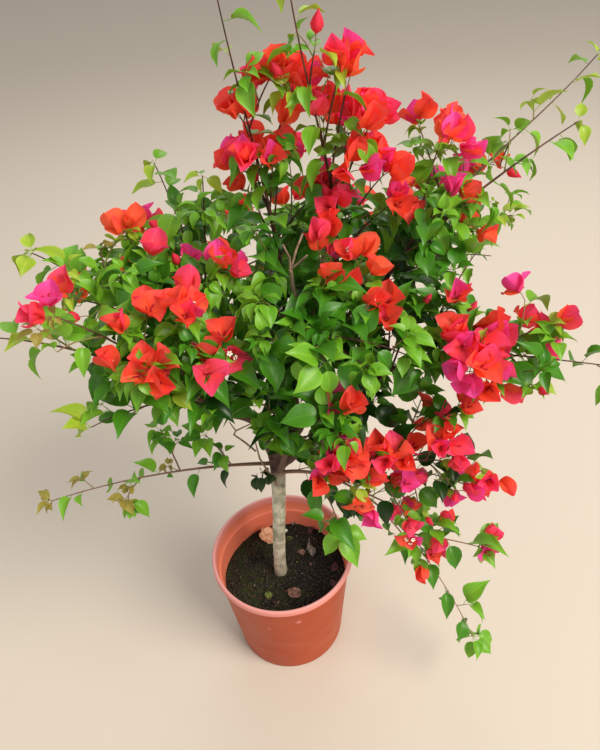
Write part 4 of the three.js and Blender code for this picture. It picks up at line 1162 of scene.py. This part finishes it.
def leaf_shape(number):
    """A leaf's blade, on a stalk that starts at the origin."""
    vertices, faces, uvs = blade(LEAF_OUTLINE, *LEAF_FORMS[number], start=STALK["length"])
    first, sides = len(vertices), STALK["sides"]
    for y in (0, STALK["length"]):
        for k in range(sides):
            turn = 2 * math.pi * k / sides
            vertices.append((STALK["radius"] * math.sin(turn), y, STALK["radius"] * math.cos(turn)))
            uvs.append((0.5, 0))
    for a, b in [(first + k, first + (k + 1) % sides) for k in range(sides)]:
        faces.append((a, a + sides, b + sides, b))
    return vertices, faces, uvs


def across_blade(tree):
    """By its UV map: how far along a blade a point is, and how far aside from its midrib."""
    uv = add_node(tree, "ShaderNodeUVMap", uv_map="blade").outputs[0]
    across, along, _ = add_node(tree, "ShaderNodeSeparateXYZ", {0: uv}).outputs
    centred = add_node(tree, "ShaderNodeMath", {0: across, 1: 0.5}, operation="SUBTRACT").outputs[0]
    return along, add_node(tree, "ShaderNodeMath", {0: centred}, operation="ABSOLUTE").outputs[0]


def veined(tree, along, aside, slant, waves, ribs, *marks):
    """How strongly veins show: ribs in so many radians of waves along the blade, slanted to its
    tip, and marks by other patterns. Each is its low, high, and strength at low and at high."""
    fan = add_node(
        tree, "ShaderNodeMath", {0: aside, 1: -slant, 2: along}, operation="MULTIPLY_ADD")
    waved = add_node(tree, "ShaderNodeMath", {0: fan.outputs[0], 1: waves}, operation="MULTIPLY")
    rows = add_node(tree, "ShaderNodeMath", {0: waved.outputs[0]}, operation="SINE").outputs[0]
    veins = 0
    for pattern, low, high, at_low, at_high in ((rows, *ribs), *marks):
        mark = add_node(tree, "ShaderNodeMapRange", {
            "Value": pattern, 1: low, 2: high, 3: at_low, 4: at_high}).outputs[0]
        stronger = add_node(tree, "ShaderNodeMath", {0: veins, 1: mark}, operation="MAXIMUM")
        veins = stronger.outputs[0]
    return veins


def thin_skin(tree, base, rough, ior, through, share):
    """A skin that reflects its base colour and lets a share of the light through."""
    skin = add_node(tree, "ShaderNodeBsdfPrincipled", {
        "Base Color": base, "Roughness": rough, "IOR": ior})
    glow = add_node(tree, "ShaderNodeBsdfTranslucent", {"Color": through})
    end_material(tree, add_node(tree, "ShaderNodeMixShader", {
        0: share, 1: skin.outputs[0], 2: glow.outputs[0]}))


def leafy(name, colour, vein, rough):
    """A living leaf's waxy skin: glossy, mottled every 29 mm, with paler midrib and side veins a
    seventh of the blade apart, a paler edge that is a painted rim highlight, and thin enough to
    glow against the light."""
    material, tree, place = start_material(name)
    along, aside = across_blade(tree)
    # The last mark lightens the blade's edge: a painted rim highlight.
    veins = veined(tree, along, aside, 1, 44.0, (0.86, 1, 0, 0.45),
                   (aside, 0.02, 0.05, 0.8, 0), (aside, 0.36, 0.5, 0, 0.7))
    mottle = add_node(tree, "ShaderNodeTexNoise", {"Vector": place, "Scale": 35.0, "Detail": 2.0})
    base = layered(tree, colour, (mottle.outputs[0], 0.3, 0.7, 0, 0.35, vein),
                   (veins, 0, 1, 0, 0.6, vein))
    thin_skin(tree, base, rough, 1.45, linear(vein), 0.22)
    return material


leaf_forms = standing_forms("leaf_form", len(LEAF_FORMS), leaf_shape)
# The deep skin is darker than the leaves' own green: painted shade for the heart of the crown.
LEAF_SKINS = {  # the blade's colour, its veins' colour, and its roughness
    "deep": ("#0D3006", "#265512", 0.34), "mid": ("#33760F", "#5E9A28", 0.38),
    "fresh": ("#5A9C1A", "#92C23A", 0.4), "lime": ("#86AA22", "#B9CC4A", 0.45),
    "bronze": ("#8A8030", "#B4A650", 0.45)}
for kind, places in leaves.items():
    skin = leafy(f"{kind}_leaf_skin", *LEAF_SKINS[kind])
    dress(scatter(f"leaves_{kind}", leaf_forms, places, skin), "foliage")


# Blossom. What colours the bush are papery bracts, three to a flower: tomato red, coral, crimson
# and magenta, with thin dark flower tubes between them and a few small white flowers open.
# A bract opens to an angle from its flower's axis, and less on the crown's top.
BRACT = {"length": 30, "vary": (0.82, 0.34), "open": (15, 36), "upright_on_top": 14,
         "turn_varies": 16, "open_varies": 18, "small_below": 0.14, "small_on_top": 0.05}
BRACT_OUTLINE = (
    (0, 0.16), (0.05, 0.3), (0.14, 0.4), (0.27, 0.465), (0.4, 0.48), (0.53, 0.462), (0.66, 0.4),
    (0.78, 0.3), (0.88, 0.18), (0.95, 0.075))
BRACT_FORMS = (  # fold in degrees, droop of the tip, wave of the edge, twist in degrees, cup
    (8, -0.1, 0.06, 6, 0.5), (14, 0.1, 0.085, -10, 0.3), (4, 0.2, 0.1, 14, 0.15),
    (20, -0.2, 0.05, -6, 0.55), (12, 0.3, 0.08, 20, 0.35), (16, -0.05, 0.1, -18, 0.45))
BRACT_SKINS = {  # the colour at the foot, at the tip and of the veins
    "tomato": ("#FF653E", "#FE5050", "#DC3E34"), "coral": ("#FF7A48", "#FF664C", "#E44E38"),
    "crimson": ("#FF525A", "#FF4C86", "#D6304A"), "magenta": ("#FC4A90", "#FF54B4", "#CC2E7C")}
# A triad's colours below and above, warm to cool. More are warm on the left, and cool low down.
TRIAD_COLOURS = (
    (0.16, ("coral", "tomato")), (0.36, ("tomato", "tomato")), (0.58, ("tomato", "crimson")),
    (0.72, ("tomato", "magenta")), (0.84, ("crimson", "crimson")), (0.94, ("crimson", "magenta")),
    (1, ("magenta", "magenta")))
WARM_TO_X, COOL_BELOW = -60, 660
WARMER, COOLER = 1.2, 0.5
BUD = {"outline": ((0, 0.05), (0.12, 0.2), (0.35, 0.28), (0.6, 0.2), (0.85, 0.07)), "sides": 9,
       "corners": 0.16, "length": (16, 8), "forms": 2}
STAR = {"share": 0.2, "radius": 3.6, "sides": 20, "lobes": (0.45, 0.95, 0.85, 0.95)}
TUBE = {"length": 13, "waist": 0.55, "radii": (0.5, 0.7, 0.9)}

bracts = {colour: [] for colour in BRACT_SKINS}
tubes, stars = [], []
for root, axis, keys in blossoms:
    beside = axis.orthogonal().normalized()
    least, most = BRACT["open"]
    open_to = least + (most - BRACT["upright_on_top"] * height_share(root)) * chance(*keys, 40)
    turn_first = 360 * chance(*keys, 41)
    low = root.z < COOL_BELOW
    cool = chance(*keys, 42) ** (WARMER if root.x < WARM_TO_X else COOLER if low else 1)
    below, above = next(pair for limit, pair in TRIAD_COLOURS if cool <= limit)
    small = BRACT["small_on_top"] * height_share(root) + BRACT["small_below"] * low
    for k in range(3):
        stray = BRACT["turn_varies"] * (chance(*keys, k, 43) - 0.5)
        turn = math.radians(turn_first + 120 * k + stray)
        side = beside * math.cos(turn) + axis.cross(beside) * math.sin(turn)
        lean = math.radians(open_to + BRACT["open_varies"] * (chance(*keys, k, 44) - 0.5))
        out = axis * math.cos(lean) + side * math.sin(lean)
        upper = axis * math.sin(lean) - side * math.cos(lean)
        length = BRACT["length"] * (1 - small) * varied(BRACT["vary"], *keys, k, 45)
        shade = above if side.z > 0.3 else below
        form = int(len(BRACT_FORMS) * chance(*keys, k, 47))
        bracts[shade].append((root, turned(out, upper), (length,) * 3, form))
        tube_end = root + (out * 0.5 + axis * 0.5).normalized() * TUBE["length"]
        spots = (root, root.lerp(tube_end, TUBE["waist"]), tube_end)
        tubes.append(list(zip(spots, TUBE["radii"])))
        if chance(*keys, 48) < STAR["share"] and chance(*keys, k, 49) < 0.5:
            facing = (tube_end - root).normalized()
            across = facing.orthogonal().normalized()
            stars.append((tube_end, turned(facing.cross(across), facing), (STAR["radius"],) * 3, 0))
closed = []
for root, axis, keys in buds:
    length = varied(BUD["length"], *keys, 50)
    turning = turned(axis, axis.orthogonal().normalized())
    closed.append((root, turning, (length,) * 3, int(BUD["forms"] * chance(*keys, 51))))


def bract_shape(number):
    """A bract's blade, which starts at the origin."""
    return blade(BRACT_OUTLINE, *BRACT_FORMS[number])


def bud_shape(number):
    """A closed, pointed, three-cornered bud one unit long along +Y."""
    vertices, faces, sides = [], [], BUD["sides"]
    for share, radius in BUD["outline"]:
        for k in range(sides):
            turn = 2 * math.pi * k / sides
            r = radius * (1 + BUD["corners"] * math.cos(3 * turn + number))
            vertices.append((r * math.sin(turn), share, r * math.cos(turn)))
    vertices.append((0, 1, 0))
    last = len(vertices) - 1
    for row in range(0, last - sides, sides):
        for a, b in [(row + k, row + (k + 1) % sides) for k in range(sides)]:
            faces.append((a, a + sides, b + sides, b))
    faces += [(last - sides + k, last, last - sides + (k + 1) % sides) for k in range(sides)]
    faces.append(tuple(range(sides)))
    return vertices, faces, [(0.5, v[1]) for v in vertices]


def star_shape(number):
    """An open flower's flat mouth, with five notched lobes, one unit in radius."""
    vertices, sides = [(0, 0, -0.25)], STAR["sides"]
    for k in range(sides):
        turn = 2 * math.pi * k / sides
        radius = STAR["lobes"][k % 4]
        vertices.append((radius * math.cos(turn), radius * math.sin(turn), 0.12 * radius))
    return vertices, [(0, 1 + k, 1 + (k + 1) % sides) for k in range(sides)], None


def papery(name, colour, tip, vein):
    """A bract's skin: dry and papery, hardly glossy, pinker to its tip. Darker ribs fan out from
    its throat over a net of veins 5 mm wide, and it glows strongly against the light."""
    material, tree, place = start_material(name)
    along, aside = across_blade(tree)
    net = add_node(tree, "ShaderNodeTexNoise", {"Vector": place, "Scale": 210.0, "Detail": 3.0})
    veins = veined(tree, along, aside, 1.6, 34.0, (0.7, 1, 0, 0.4), (aside, 0.015, 0.05, 0.7, 0),
                   (along, 0, 0.3, 0.4, 0), (net.outputs[0], 0.5, 0.75, 0, 0.5))
    ground = layered(tree, colour, (along, 0.25, 0.95, 0, 1, tip))
    base = add_node(tree, "ShaderNodeMix", {0: veins, 6: ground, 7: linear(vein)}, data_type="RGBA")
    thin_skin(tree, base.outputs[2], 0.62, 1.4, ground, 0.42)
    return material


bract_forms = standing_forms("bract_form", len(BRACT_FORMS), bract_shape)
for shade, places in bracts.items():
    skin = papery(f"{shade}_bract_skin", *BRACT_SKINS[shade])
    dress(scatter(f"bracts_{shade}", bract_forms, places, skin), "foliage")
bud_forms = standing_forms("bud_form", BUD["forms"], bud_shape)
bud_skin = bpy.data.materials["crimson_bract_skin"]
dress(scatter("closed_buds", bud_forms, closed, bud_skin), "foliage")
# The open flower's mouth: soft white tissue, matt and a little creamy.
star_skin, tree, place = start_material("open_flower_skin")
end_material(tree, add_node(tree, "ShaderNodeBsdfPrincipled", {
    "Base Color": linear("#FBF8E6"), "Roughness": 0.6}))
star_forms = standing_forms("star_form", 1, star_shape)
dress(scatter("open_flowers", star_forms, stars, star_skin), "foliage")
# The flower's tube: the same tissue, downy and deep red.
tube_skin, tree, place = start_material("flower_tube_skin")
end_material(tree, add_node(tree, "ShaderNodeBsdfPrincipled", {
    "Base Color": linear("#A81E34"), "Roughness": 0.55}))
dress(skin_runs("flower_tubes", tubes, 5, tube_skin), "foliage")


# Litter. What has dropped from the bush and dried or rotted on the potting mix: curled leaves,
# thin bracts gone dull, sprigs of moss, and bits of all of them.
# Each is its kind, place, length and bearing, and how it is curled, as a blade's form is.
LITTER = (
    ("withered", (55, 29), 27, 100, (40, -0.5, 0.12, 60)),
    ("withered", (18, 104), 10, 60, (10, -0.5, 0.1, 10)),
    ("dry", (26, -49), 24, 170, (34, -0.25, 0.22, 50)),
    ("dry", (30, 36), 11, 10, (6, -0.2, 0.1, 12)),
    ("dry", (34, 43), 9, 200, (6, -0.1, 0.1, 30)),
    ("mossy", (73, 40), 13, 40, (20, 0.3, 0.05, 10)),
    ("mossy", (14, 70), 15, 130, (16, 0.2, 0.05, 14)),
    ("mossy", (-28, -54), 17, 110, (24, -0.3, 0.2, 50)),
    ("mossy", (-36, -48), 9, 40, (20, -0.2, 0.2, 20)),
    ("dull", (90, -7), 15, 80, (10, -0.3, 0.12, 20)),
    ("dull", (88, -28), 14, 250, (8, -0.1, 0.12, -24)),
    ("dull", (47, 82), 14, 20, (20, -0.4, 0.1, 30)),
)
LITTER_SKINS = {  # the colour, and the outline that it once had
    "withered": ("#8A7E76", LEAF_OUTLINE), "dry": ("#8E6A5C", BRACT_OUTLINE),
    "mossy": ("#66762E", LEAF_OUTLINE), "dull": ("#5C303C", BRACT_OUTLINE)}
BITS = {"count": 64, "length": (2, 4), "seed": 41, "margin": 8, "lift": 0.8, "tilt": 0.6}
LITTER_LIFT = 2.5
BUCKLE = {"depth": 0.13, "pitch": 3.6}


noise.seed_set(BITS["seed"])


def crumpled(shape, number):
    """A dried blade, buckled by folds smaller than itself."""
    vertices, faces, uvs = shape
    depth, pitch = BUCKLE["depth"], BUCKLE["pitch"]
    shift = Vector((7 * number, 0, 0))
    folds = [depth * noise.noise_vector(Vector(v) * pitch + shift) for v in vertices]
    return [Vector(v) + fold for v, fold in zip(vertices, folds)], faces, uvs


for number, (kind, (colour, outline)) in enumerate(LITTER_SKINS.items()):
    # Dead tissue: brittle, dull and matt, with dark rot in spots 4 mm apart.
    litter_skin = flecked(f"{kind}_litter", (colour, "#2A211A"), 240.0, 4.0, (0.42, 0.66), 0.85)
    own = [item for item in LITTER if item[0] == kind]
    shapes = [crumpled(blade(outline, *item[4]), k) for k, item in enumerate(own)]
    places = []
    for k, (_, (x, y), length, bearing, _) in enumerate(own):
        spot = Vector((x, y, soil_height(x, y) + LITTER_LIFT))
        turning = Matrix.Rotation(math.radians(bearing - 90), 3, "Z")
        places.append((spot, turning, (length,) * 3, k))
    for i in range(number, BITS["count"], len(LITTER_SKINS)):
        x, y = on_soil(BITS["seed"], i, BITS["margin"])
        length = varied(BITS["length"], BITS["seed"], i, 3)
        spot = Vector((x, y, soil_height(x, y) + BITS["lift"]))
        tilt = BITS["tilt"] * math.sin(3 * i)
        turning = Matrix.Rotation(i, 3, "Z") @ Matrix.Rotation(tilt, 3, "X")
        places.append((spot, turning, (length,) * 3, i % len(own)))
    forms = standing_forms(f"{kind}_form", len(own), lambda k: shapes[k])
    dress(scatter(f"litter_{kind}", forms, places, litter_skin), "foliage")
